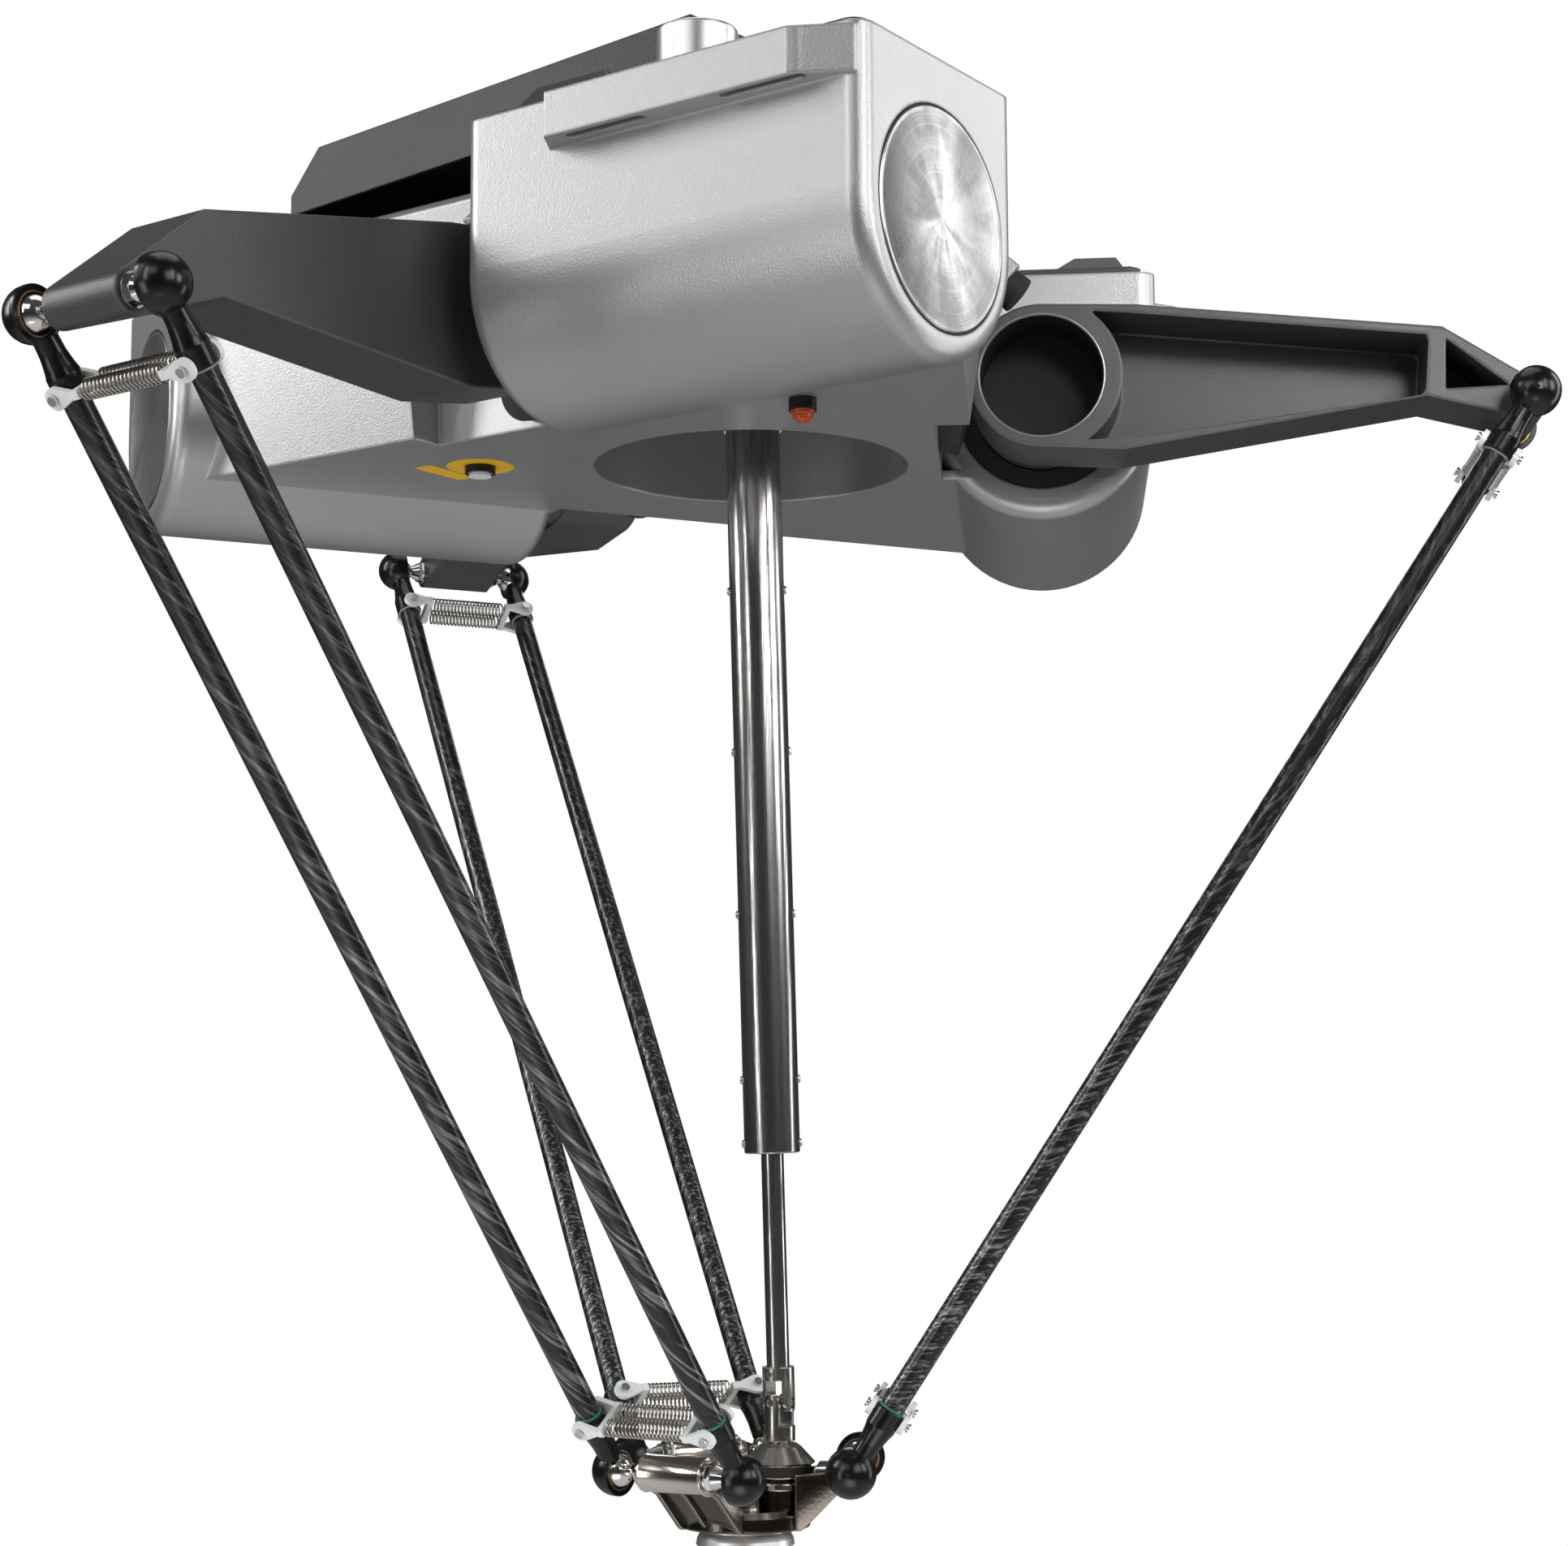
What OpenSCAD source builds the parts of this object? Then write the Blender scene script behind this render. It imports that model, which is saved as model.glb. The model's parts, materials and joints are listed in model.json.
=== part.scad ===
// Delta robot: three parallelogram arms and a telescopic theta shaft that turns the tool.
//
// Millimetres. The origin is the centre of the mounting plane, which is the tops of the three
// bolting flanges, with +Z up. The arms point out at 210, 330 and 90 degrees.
// The platform's place at rest is set by three sizes; arm angles, rods and shaft follow from it.

/* [Kinematics] */
// Distance of the motor axes from the centre
base_r = 219.5; // [200:0.5:270]
// Depth of the motor axes below the mounting plane
axis_drop = 86; // [86:1:110]
// Length of an arm, from motor axis to elbow balls
arm_len = 309; // [257:1:371]
// Length of a rod, ball to ball
rod_len = 800; // [666:1:960]
// Distance of the platform's balls from its centre
plat_r = 71; // [68:1:86]
// Spacing of the two rods of a pair
rod_gap = 96; // [92:1:116]
// Platform's centre at rest, along X
rest_x = 33; // [-60:1:60]
// Platform's centre at rest, along Y
rest_y = 18; // [-60:1:60]
// Height of the motor axes above the platform's balls at rest
rest_drop = 694; // [600:1:760]

/* [Casting] */
// Half width of a motor housing
housing_r = 77; // [74:1:90]
// Near end of a housing, from the middle of its arm
housing_near = 46.8; // [46:0.2:60]
// Far end of a housing
housing_far = 320; // [270:1:330]
// Top of the housings above the motor axes
housing_top = 89; // [88:1:104]
// Rounding of the housings' edges
housing_round = 11; // [6:1:14]
// Distance of the tub's walls from the centre, at the top
tub_r = 194.5; // [185:0.5:200]
// Inward slope of the tub's walls from top to bottom
tub_slope = 20; // [10:1:26]
// Depth of the tub below the motor axes
tub_depth = 50; // [50:1:60]
// Wall of the tub
wall = 6; // [5:0.5:8]
// Radius of the round well
well_r = 103; // [90:1:106]
// Height of the well's roof above the motor axes
well_roof = 50; // [44:1:58]
// Radius of a motor's bore
motor_bore_r = 62.5; // [56:0.5:65]
// Radius of a gearbox's seat
gearbox_r = 58; // [52:0.5:60]
// Length of a gearbox's seat
gearbox_len = 64; // [54:1:76]

/* [Flanges] */
// Distance of a flange's outer edge from its motor axis
flange_out = 94; // [90:1:105]
// Thickness of a flange
flange_t = 26; // [20:1:32]
// Start of a flange along its housing
flange_from = 111; // [95:1:125]
// End of a flange along its housing
flange_to = 316; // [300:1:318]
// Middle of the two slots
slot_mid = 211.5; // [200:0.5:216]
// Spacing of the two slots
slot_pitch = 105; // [88:1:116]
// Width of a slot
slot_w = 7; // [6:0.5:9]
// Length of a slot over its round ends
slot_len = 54; // [44:1:64]

/* [Covers] */
// Thickness of the lids' plates
lid_t = 4; // [3:0.5:5]
// Thickness of the seals under the lids
gasket_t = 1.2; // [1:0.1:2]
// Height of the lids' humps above the motor axes
hump_z = 110; // [104:1:118]
// Height of the amplifier cover
amp_h = 40; // [32:1:48]
// Length of the amplifier cover
amp_len = 358; // [298:1:430]
// Depth of the amplifier cover
amp_depth = 150; // [125:1:180]
// Height of the earth post
post_h = 32; // [26:1:40]
// Diameter of the earth post
post_d = 46; // [38:1:54]
// Diameter of the cover screws' shanks
screw_d = 5; // [4:0.5:6]

/* [Arms] */
// Radius of an arm's hub
hub_r = 47; // [46:0.5:50]
// Radius of the pocket in the hub
hub_bore_r = 39.7; // [34:0.5:42]
// Width of an arm
arm_w = 55; // [46:1:60]
// Top of an arm where its taper starts
arm_knee = 252; // [220:1:262]
// Wall of an arm's rim
rim = 5.5; // [4:0.5:7]
// Thickness of an arm's back
arm_back = 5; // [4:0.5:7]
// Radius of an arm's spigot in the gearbox
spigot_r = 35; // [30:0.5:38]
// Radius of the barrels that carry the ball studs
barrel_r = 12; // [11.5:0.5:14]
// Length of those barrels
barrel_len = 50; // [46:1:56]

/* [Rods] */
// Radius of the balls
ball_r = 11; // [10:0.5:12]
// Radius of the sockets' domes
socket_r = 16; // [15.2:0.2:18]
// Thickness of the sockets' liners
liner_t = 1.2; // [1:0.1:1.6]
// Outer radius of a rod
rod_r = 7.8; // [6.5:0.1:8.4]
// Wall of a rod's tube
rod_wall = 1.6; // [1.2:0.1:2.4]
// Distance from a ball's centre to the mouth of its socket's collar
collar_z = 47; // [42:1:54]
// Radius of that collar
collar_r = 9.6; // [9.2:0.1:10.4]
// Distance from a ball's centre to the clips' pins
pin_z = 43; // [38:1:46]
// Outer radius of a spring
spring_r = 6; // [5:0.5:6.4]
// Diameter of the springs' wire
wire_d = 1.5; // [1.2:0.1:2]
// Number of turns of a spring
turns = 20; // [16:1:24]
// Thickness of a nylon clip
clip_t = 3.4; // [3:0.2:4.4]

/* [Theta shaft] */
// Offset of the upper joint from the centre, towards arm B
theta_base = 28.5; // [24:0.5:34]
// Offset of the lower joint from the platform's centre
theta_plat = 22; // [20:0.5:24]
// Height of the upper joint above the motor axes
theta_top = 20; // [16:1:24]
// Height of the lower joint above the platform's balls
theta_low = 39; // [38:1:46]
// Outer diameter of the outer tube
tube_d = 36; // [30:1:42]
// Wall of the outer tube
tube_wall = 2.5; // [2:0.5:3.5]
// Length of the outer tube, from the upper joint
tube_len = 517; // [431:1:540]
// Diameter of the inner shaft
shaft_d = 14.6; // [12:0.2:17]
// Length of the inner shaft above the lower joint
shaft_len = 440; // [380:1:470]
// Diameter of the joints' collars
yoke_d = 20.5; // [19:0.5:24]

/* [Platform] */
// Radius of the platform's lower disc
disc_r = 41.7; // [40:0.1:46]
// Diameter of the tool flange
flange_d = 63; // [58:1:70]
// Pitch circle of the tool flange's screws
flange_pcd = 50; // [50:1:54]
// Bore of the tool flange
flange_bore = 31.5; // [31.5:0.5:33]
// Teeth of the pinion
pinion_teeth = 14; // [12:1:16]
// Teeth of the tool flange's gear
gear_teeth = 30; // [26:1:34]

/* [Fits] */
// Gap between parts that turn on each other
run_gap = 0.3; // [0.2:0.05:0.4]
// Gap between parts that are put together and stay
fit_gap = 0.05; // [0.02:0.01:0.1]
// Free room round a lower stud in its barrel
stud_room = 5.3; // [5.3:0.1:6]

/* [Hidden] */
$fn = 64;
eps = 0.01;
arm_az = [210, 330, 90];
A = 0;
B = 1;
C = 2;

// Places at rest:
plat = [rest_x, rest_y, -axis_drop - rest_drop];
upper_joint = theta_base * radial(B) + [0, 0, theta_top - axis_drop];
lower_joint = plat + theta_plat * radial(B) + [0, 0, theta_low];
lean = unit(upper_joint - lower_joint);
joint_span = norm(upper_joint - lower_joint);
// Direction of the plane across the tube's screws
yoke_turn = 65.2;

// Base casting:
tub_top = housing_top - axis_drop;
tub_bottom = -axis_drop - tub_depth;
tub_end = housing_far - housing_round - 4;
tub_rate = tub_slope / (tub_top - tub_bottom);
// Housings and tub start higher than this, and are machined flat together
top_spare = 2;
well_at = theta_base * flat(radial(B));
// Room for an arm's hub in the tub: inner wall, far end and roof from the motor's axis
pocket_in = -67;
pocket_from = -100;
pocket_roof = 60;
slot_x = housing_r + 10;
// Opening in the top of a housing, under its lid, and the disc that closes its far end
open_x = 46;
open_y = [housing_near + gearbox_len + 14, housing_far - 12];
cap_t = 8;
// Screw places on a housing's lid, and on the centre lid
lid_edge = 9;
lid_lo = [-housing_r + 17, housing_near + 5];
lid_hi = [housing_r - 9, housing_far - 8];
lid_screws_at = [for (x = [lid_lo.x + lid_edge, lid_hi.x - lid_edge],
                      y = [lid_lo.y + lid_edge, lid_hi.y - lid_edge]) [x, y]];
centre_r = tub_r - 5;
centre_cut = base_r + lid_lo.x - 3;
centre_screws_at = [for (k = [A, B, C], s = [-100, -215]) (centre_r - lid_edge) * flat(radial(k))
                    + s * flat(tangent(k))];
screw_len = 16;
theta_seat_r = 40;

// Lids:
lid_z = housing_top + gasket_t;
plateau_z = housing_top + 11;

// Covers and fittings on the casting:
// The amplifier cover is turned a little from arm A's motor axis
amp_turn = -6.4;
amp_at = [9, 158];
post_at = [33, 181, 94.2];
post_thread_d = 6.8;
post_thread_len = 16;
beacon_at = [-20, -189, tub_bottom];
beacon_d = 17;
brake_at = [-139, 54, tub_bottom];
brake_stem_r = 3.5;
brake_travel = 3;
brake_collar_d = 20;
brake_d = 14.5;
// Rubber stops at the ends of an arm's swing, and the cast pads behind the upper ones
lower_stop_r = 17.5;
lower_stop_len = 17;
upper_stop_r = 12.5;
upper_stop_len = 10;
stop_pad = 26;
stop_gap = 0.1;
hub_boss_r = 45;
motor_flange_t = 10;
theta_body = 60;

// Arms:
hub_top = 49.5;
knee_top = 44.5;
knee_back = 7;
boss_to = housing_near - 0.8;
hub_floor = 22;
spigot_len = 30;
tip_slope = atan2(knee_top - barrel_r, arm_len - arm_knee);
// Wall across an arm between its long pocket and the one at its tip
cross_wall = 8;

// Ball studs:
stud_shank_r = 4;
neck_r = 4;
ball_y = rod_gap / 2;

// Rods:
liner_gap = 0.35;
liner_in = ball_r + liner_gap;
liner_out = liner_in + liner_t;
// The sockets' mouths stand this far inwards of the balls' centres
mouth_y = 3;
rod_from = 33;
// Spring clips: eyes on pins, and the bridge between them
pin_r = 2;
pin_out = collar_r + clip_t + 2.6;
eye_r = 6.4;
bridge_y = 17.5;
bridge_t = 4.4;
bridge_h = 5.2;
spring_x = 6.9;
// Half the length of a spring between its clips
spring_half = rod_gap / 2 - bridge_y - 0.4;

// Theta shaft:
// Universal joints: the forks' pins lie across each other, turned from the screws' plane
fork_turn = 55;
cross_r = 2.5;
cross_gap = 0.7;
ear_in = 6.2;
ear_w = 11;
collar_gap = 14.5;
tube_from = 26;
plug_len = 24;
bush_len = 38;
tube_bore_r = tube_d / 2 - tube_wall;
rail_w = 6;
rail_h = 3.4;
tube_screw_d = 3;
// Distances of the screws from the upper joint
tube_screws_at = [44, 151, 257, 363, 470, 511];
guide_len = 24;
gear_module = 2 * theta_plat / (pinion_teeth + gear_teeth);
gear_w = 9;
gear_z = -31;
pinion_bore_r = 6;

// Platform:
disc_top = -28;
disc_bottom = -38.6;
hub_ledge = -10.3;
boss_r = 20;
cone_top = 13.6;
bearing_r = 28;
gear_room = 1.5;
flange_z = -50;

// ---- Where things are at rest -------------------------------------------------------------

function radial(k) = [cos(arm_az[k]), sin(arm_az[k]), 0];
function tangent(k) = [-sin(arm_az[k]), cos(arm_az[k]), 0];
function unit(v) = v / norm(v);
function flat(v) = [v.x, v.y];

// Middle of a pair's lower balls, and of its upper balls
function foot(k) = plat + plat_r * radial(k);
function arm_angle(k) =
    let (x = foot(k) * radial(k) - base_r, y = foot(k) * tangent(k), z = -axis_drop - foot(k).z,
         near = (arm_len^2 + x^2 + y^2 + z^2 - rod_len^2) / (2 * arm_len))
    atan2(z, x) - acos(near / norm([x, z]));
function elbow(k) = (base_r + arm_len * cos(arm_angle(k))) * radial(k)
    - [0, 0, axis_drop + arm_len * sin(arm_angle(k))];

// Puts the children's Z along z and their Y as near to y as it goes
module frame_at(origin, z, y) {
    side = unit(cross(y, z));
    up = cross(z, side);
    multmatrix([[side.x, up.x, z.x, origin.x], [side.y, up.y, z.y, origin.y],
                [side.z, up.z, z.z, origin.z], [0, 0, 0, 1]]) children();
}

// X out from the centre, Y along the motor axis, Z up
module at_motor(k) rotate([0, 0, arm_az[k]]) translate([base_r, 0, -axis_drop]) children();
module on_arm(k) at_motor(k) rotate([0, arm_angle(k), 0]) children();
// Along the motor axis, starting at a place on it
module along_y(from) translate([0, from, 0]) rotate([-90, 0, 0]) children();
// Hanging from the upper joint along the shaft, with its own Z up
module on_shaft() frame_at(upper_joint, lean, [cos(yoke_turn), sin(yoke_turn), 0]) children();
module on_platform() translate(plat) children();
// One end of one rod: Z along the rod, away from the ball; Y outwards, away from its partner
module at_socket(k, side, low) {
    along = unit(elbow(k) - foot(k));
    middle = low ? foot(k) : elbow(k);
    frame_at(middle + side * rod_gap / 2 * tangent(k), low ? along : -along, side * tangent(k))
        children();
}
module each_socket(k) for (side = [-1, 1], low = [false, true]) at_socket(k, side, low) children();

// ---- Shared shapes ------------------------------------------------------------------------

module rounded_rect(lo, hi, r) {
    translate([lo.x + r, lo.y]) square([hi.x - lo.x - 2 * r, hi.y - lo.y]);
    translate([lo.x, lo.y + r]) square([hi.x - lo.x, hi.y - lo.y - 2 * r]);
    for (x = [lo.x + r, hi.x - r], y = [lo.y + r, hi.y - r]) translate([x, y]) circle(r);
}

module ring(outer, inner, h) difference() {
    cylinder(r = outer, h = h);
    translate([0, 0, -1]) cylinder(r = inner, h = h + 2);
}

// Button head with a socket, underside at z = 0, head up
module button_screw(d, length) difference() {
    union() {
        rotate_extrude() polygon([[0, 0], [d * 0.95, 0], [d * 0.9, d * 0.22], [d * 0.62, d * 0.48],
                                  [0, d * 0.55]]);
        translate([0, 0, -length]) cylinder(d = d, h = length + eps);
    }
    translate([0, 0, d * 0.25]) cylinder(d = d * 0.6, h = d, $fn = 6);
}

// ---- Base casting -------------------------------------------------------------------------

module housing_plan() rounded_rect([-housing_r, housing_near], [housing_r, housing_far],
                                   housing_round);

// Round below, upright above, with rounded ends
module housing_body() {
    rotate([-90, 0, 0]) rotate_extrude(angle = 180) intersection() {
        housing_plan();
        translate([0, housing_near]) square([housing_r, housing_far - housing_near]);
    }
    linear_extrude(housing_top + top_spare / 2) housing_plan();
}

// A triangle whose sides lie a set distance from the centre, square to the arms
module triangle(r) polygon([for (k = [A, B, C]) -2 * r * flat(radial(k))]);

// Sloping walls, cut off short of the housings' far ends
module tub_block(shrink, bottom) intersection() {
    translate([0, 0, bottom]) linear_extrude(tub_top + top_spare - bottom,
        scale = (tub_r + top_spare * tub_rate - shrink) / (tub_r - tub_slope - shrink))
        triangle(tub_r - tub_slope - shrink);
    for_all_ends() translate([-500, -500, bottom - 1])
        cube([1000, 500 + tub_end - shrink, 200]);
}

module for_all_ends() intersection_for (k = [A, B, C]) rotate([0, 0, arm_az[k]]) children();

// Room for the hub and the swinging arm between the tub and the near end of the housing
module hub_pocket(grow) at_motor(0) translate([pocket_in - grow, pocket_from - grow,
    -tub_depth - 1 - grow]) cube([base_r, housing_near - pocket_from + grow + 0.2,
    tub_depth + 1 + pocket_roof + 2 * grow]);

module hub_pockets(grow) for (k = [A, B, C]) rotate([0, 0, arm_az[k] - arm_az[0]])
    hub_pocket(grow);

module flange_plan() polygon([[housing_r - 10, flange_from], [housing_r, flange_from],
    [flange_out, flange_from + 10], [flange_out, flange_to - 32], [housing_r, flange_to],
    [housing_r - 10, flange_to]]);

module slots() for (y = [-1, 1]) translate([slot_x, slot_mid + y * slot_pitch / 2, axis_drop
    - flange_t - 1]) linear_extrude(flange_t + 2) {
        square([slot_w, slot_len - slot_w], center = true);
        for (end = [-1, 1]) translate([0, end * (slot_len - slot_w) / 2]) circle(d = slot_w);
    }

module motor_bores() {
    along_y(housing_near - 1) cylinder(r = gearbox_r, h = gearbox_len + 1);
    along_y(housing_near + gearbox_len) cylinder(r = motor_bore_r, h = 400);
    translate([-open_x, open_y[0], 0]) cube([2 * open_x, open_y[1] - open_y[0], 200]);
}

module screw_holes(d, z, h) {
    for (k = [A, B, C], p = lid_screws_at) at_motor(k) translate([p.x, p.y, z])
        cylinder(d = d, h = h);
    for (p = centre_screws_at) translate([p.x, p.y, z - axis_drop]) cylinder(d = d, h = h);
}

module base_casting() color([0.72, 0.73, 0.75]) difference() {
    union() {
        difference() {
            tub_block(0, tub_bottom);
            difference() {
                union() {
                    intersection() {
                        tub_block(wall, tub_bottom + wall);
                        translate([-500, -500, tub_top - wall - 500]) cube([1000, 1000, 500]);
                    }
                    translate([0, 0, tub_top - 2 * wall]) linear_extrude(3 * wall) hump_plan(0);
                }
                hub_pockets(wall);
                for (p = centre_screws_at) translate([p.x, p.y, tub_top - 24])
                    cylinder(d = 2.6 * screw_d, h = 30);
                translate([well_at.x, well_at.y, tub_bottom]) cylinder(r = well_r + wall,
                    h = tub_depth + well_roof + wall);
            }
        }
        for (k = [A, B, C]) at_motor(k) {
            housing_body();
            translate([0, 0, axis_drop - flange_t]) linear_extrude(flange_t) flange_plan();
            at_upper_stop() translate([-stop_pad / 2, -stop_pad / 2, -18])
                cube([stop_pad, stop_pad, 18]);
        }
    }
    translate([-500, -500, tub_top]) cube([1000, 1000, 2 * top_spare]);
    translate([well_at.x, well_at.y, tub_bottom - 1])
        cylinder(r = well_r, h = tub_depth + well_roof + 1);
    translate([well_at.x, well_at.y, tub_bottom]) cylinder(r = theta_seat_r, h = 200);
    hub_pockets(0);
    for (k = [A, B, C]) at_motor(k) {
        motor_bores();
        slots();
    }
    screw_holes(screw_d, housing_top - screw_len, screw_len + 1);
    for (k = [A, B, C]) at_motor(k) at_lower_stop() translate([0, 0, -stop_gap])
        cylinder(r = lower_stop_r + stop_gap, h = lower_stop_len);
    translate(brake_at) translate([0, 0, -1]) cylinder(r = brake_stem_r + 2 * run_gap, h = 40);
}

module end_caps() color([0.8, 0.81, 0.82]) for (k = [A, B, C]) at_motor(k)
    along_y(housing_far - cap_t) difference() {
        cylinder(r = motor_bore_r - 0.4, h = cap_t + 0.6);
        translate([0, 0, -1]) cylinder(r = motor_bore_r - 12, h = 4);
    }

// ---- Lids ---------------------------------------------------------------------------------

module lid_plan() rounded_rect(lid_lo, lid_hi, 9);
module centre_plan() difference() {
    intersection() {
        triangle(centre_r);
        for_all_ends() translate([-500, -500])
            square([1000, 500 + tub_end - wall]);
    }
    for (k = [A, B, C]) rotate([0, 0, arm_az[k]]) translate([centre_cut, lid_lo.y - 3])
        square([500, 500]);
}

// A raised panel: foot corners and top corners, each [lo, hi]
module hump(foot_lo, foot_hi, top_lo, top_hi, from, to) hull() {
    translate([foot_lo.x, foot_lo.y, from]) cube([foot_hi.x - foot_lo.x, foot_hi.y - foot_lo.y,
        eps]);
    translate([top_lo.x, top_lo.y, to - eps]) cube([top_hi.x - top_lo.x, top_hi.y - top_lo.y,
        eps]);
}

module housing_lids() color([0.25, 0.26, 0.27]) for (k = [A, B, C]) difference() {
    at_motor(k) {
        translate([0, 0, lid_z]) linear_extrude(lid_t) lid_plan();
        hump([4, housing_near + 20], [60, 146], [24, housing_near + 34], [52, 130],
             lid_z + lid_t, hump_z);
        hump([-50, 232], [60, housing_far - 24], [-46, 238], [56, housing_far - 30],
             lid_z + lid_t, plateau_z);
    }
    screw_holes(screw_d + 0.6, lid_z - 1, lid_t + 2);
}

// Outline of the raised middle of the centre lid
module hump_plan(shrink) intersection() {
    triangle(centre_r - 14 - shrink);
    circle(r = 150 - shrink);
}

module centre_hump(shrink, from, to) translate([0, 0, from - axis_drop]) intersection() {
    linear_extrude(to - from, scale = 0.93) triangle(centre_r - 14 - shrink);
    cylinder(r1 = 150 - shrink, r2 = 140 - shrink, h = to - from);
}

module centre_lid() color([0.25, 0.26, 0.27]) difference() {
    union() {
        translate([0, 0, lid_z - axis_drop]) linear_extrude(lid_t) centre_plan();
        centre_hump(0, lid_z, hump_z);
    }
    centre_hump(lid_t, lid_z - 1, hump_z - lid_t);
    screw_holes(screw_d + 0.6, lid_z - 1, lid_t + 2);
}

module lid_gaskets() color([0.9, 0.9, 0.88]) difference() {
    for (k = [A, B, C]) at_motor(k) translate([0, 0, housing_top]) linear_extrude(gasket_t)
        difference() {
            lid_plan();
            translate([-open_x, open_y[0]]) square([2 * open_x, open_y[1] - open_y[0]]);
        }
    translate([0, 0, tub_top]) linear_extrude(gasket_t) difference() {
        centre_plan();
        hump_plan(0);
    }
    screw_holes(screw_d + 0.6, housing_top - 1, gasket_t + 2);
}

module lid_screws() color([0.85, 0.85, 0.86]) {
    for (k = [A, B, C], p = lid_screws_at) at_motor(k) translate([p.x, p.y, lid_z + lid_t])
        button_screw(screw_d - 2 * fit_gap, screw_len - 2);
    for (p = centre_screws_at) translate([p.x, p.y, lid_z + lid_t - axis_drop])
        button_screw(screw_d - 2 * fit_gap, screw_len - 2);
}

// ---- Covers and fittings on the casting ---------------------------------------------------

// Textured box on the centre lid
module amplifier_cover() color([0.07, 0.07, 0.07]) at_motor(A)
    translate([amp_at.x, amp_at.y, hump_z]) rotate([0, 0, amp_turn]) difference() {
        rotate([90, 0, -90]) linear_extrude(amp_depth) amp_side(0);
        translate([-wall / 3, 0, -1]) rotate([90, 0, -90]) linear_extrude(amp_depth - 2 * wall / 3)
            amp_side(wall / 3);
    }

// Side view, with the slanted end
module amp_side(shrink) polygon([[shrink, 0], [amp_len - shrink, 0],
    [amp_len - shrink, 0.33 * amp_h], [amp_len - 0.68 * amp_h - shrink, amp_h - shrink],
    [shrink, amp_h - shrink]]);

module earth_post() color([0.78, 0.79, 0.8]) at_motor(A) translate(post_at) rotate_extrude()
    difference() {
        union() {
            square([post_d / 2, post_h - 2]);
            square([post_d / 2 - 2, post_h]);
            translate([post_d / 2 - 2, post_h - 2]) circle(2);
        }
        translate([-1, post_h - post_thread_len]) square([post_thread_d / 2 + 1, post_h]);
    }

module beacon_base() color([0.08, 0.08, 0.08]) translate(beacon_at)
    translate([0, 0, -7.5]) cylinder(d = beacon_d, h = 7.5);
module beacon_lens() color([0.85, 0.3, 0.05]) translate(beacon_at) translate([0, 0, -7.5])
    rotate_extrude() intersection() {
        translate([0, -beacon_d]) square([beacon_d, beacon_d]);
        union() {
            circle(d = beacon_d - 2.4);
            square([beacon_d / 2 - 1.2, 2], center = true);
        }
    }

module brake_collar() color([0.08, 0.08, 0.08]) translate(brake_at) translate([0, 0, -5])
    ring(brake_collar_d / 2, brake_d / 2 + run_gap, 5);
module brake_button() color([0.93, 0.93, 0.92]) translate(brake_at) {
    translate([0, 0, -7]) cylinder(d = brake_d, h = 6 - brake_travel);
    translate([0, 0, -5 + eps]) cylinder(r = brake_stem_r, h = 17);
}

module at_lower_stop() translate([-50.5, -16, -32]) rotate([0, 105, 0])
    translate([0, 0, -lower_stop_len]) children();
module at_upper_stop() translate([-14, -20, 55]) rotate([0, 131, 0])
    translate([0, 0, -upper_stop_len]) children();
module arm_bumpers() color([0.09, 0.09, 0.09]) for (k = [A, B, C]) at_motor(k) {
    at_lower_stop() cylinder(r = lower_stop_r, h = lower_stop_len);
    at_upper_stop() cylinder(r = upper_stop_r, h = upper_stop_len);
}

module shaft_seals() color([0.06, 0.06, 0.06]) for (k = [A, B, C]) at_motor(k)
    along_y(housing_near + 1) ring(gearbox_r - fit_gap, hub_boss_r + run_gap, 5);

module arm_gearboxes() color([0.45, 0.46, 0.48]) for (k = [A, B, C]) at_motor(k)
    along_y(housing_near + 6 + fit_gap) difference() {
        cylinder(r = gearbox_r - fit_gap, h = gearbox_len - 6 - fit_gap);
        translate([0, 0, -1]) cylinder(r = spigot_r + run_gap, h = gearbox_len - 20);
        translate([0, 0, -1]) cylinder(r = 9, h = gearbox_len + 2);
    }

module arm_motors() color([0.14, 0.14, 0.15]) for (k = [A, B, C]) at_motor(k)
    along_y(housing_near + gearbox_len + fit_gap) {
        cylinder(r = motor_bore_r - fit_gap, h = motor_flange_t);
        translate([0, 0, motor_flange_t]) linear_extrude(100) difference() {
            circle(r = 44);
            for (a = [0:30:330]) rotate(a) translate([44, 0]) circle(r = 3);
        }
        translate([0, 0, motor_flange_t + 100]) cylinder(r = 36, h = 34);
        translate([0, 0, -24]) cylinder(r = 9 - run_gap, h = 25);
    }

module theta_motor() color([0.16, 0.16, 0.17]) translate([well_at.x, well_at.y, 0]) {
    roof = well_roof - axis_drop;
    difference() {
        union() {
            translate([0, 0, roof - 3]) cylinder(r = 30, h = 3 + wall + 6);
            translate([0, 0, roof]) cylinder(r = theta_seat_r - fit_gap, h = wall);
            translate([0, 0, roof + wall]) cylinder(r = theta_seat_r + 7, h = 6);
            translate([-theta_body / 2, -theta_body / 2, roof + wall + 6])
                cube([theta_body, theta_body, hump_z - axis_drop - roof - wall - 10]);
        }
        translate([0, 0, roof - 13]) cylinder(r = 8 + run_gap, h = 24);
    }
}

// ---- Arms ---------------------------------------------------------------------------------

// Side view of an arm between hub and tip barrel
module arm_web() polygon([[0, hub_r], [56, hub_top], [arm_knee, knee_top],
    [arm_len + barrel_r * sin(tip_slope), barrel_r * cos(tip_slope)], [arm_len, 0],
    [arm_len - 2, -barrel_r], [arm_knee - knee_back, -1], [56, -hub_r + 1], [0, -hub_r]]);

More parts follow.
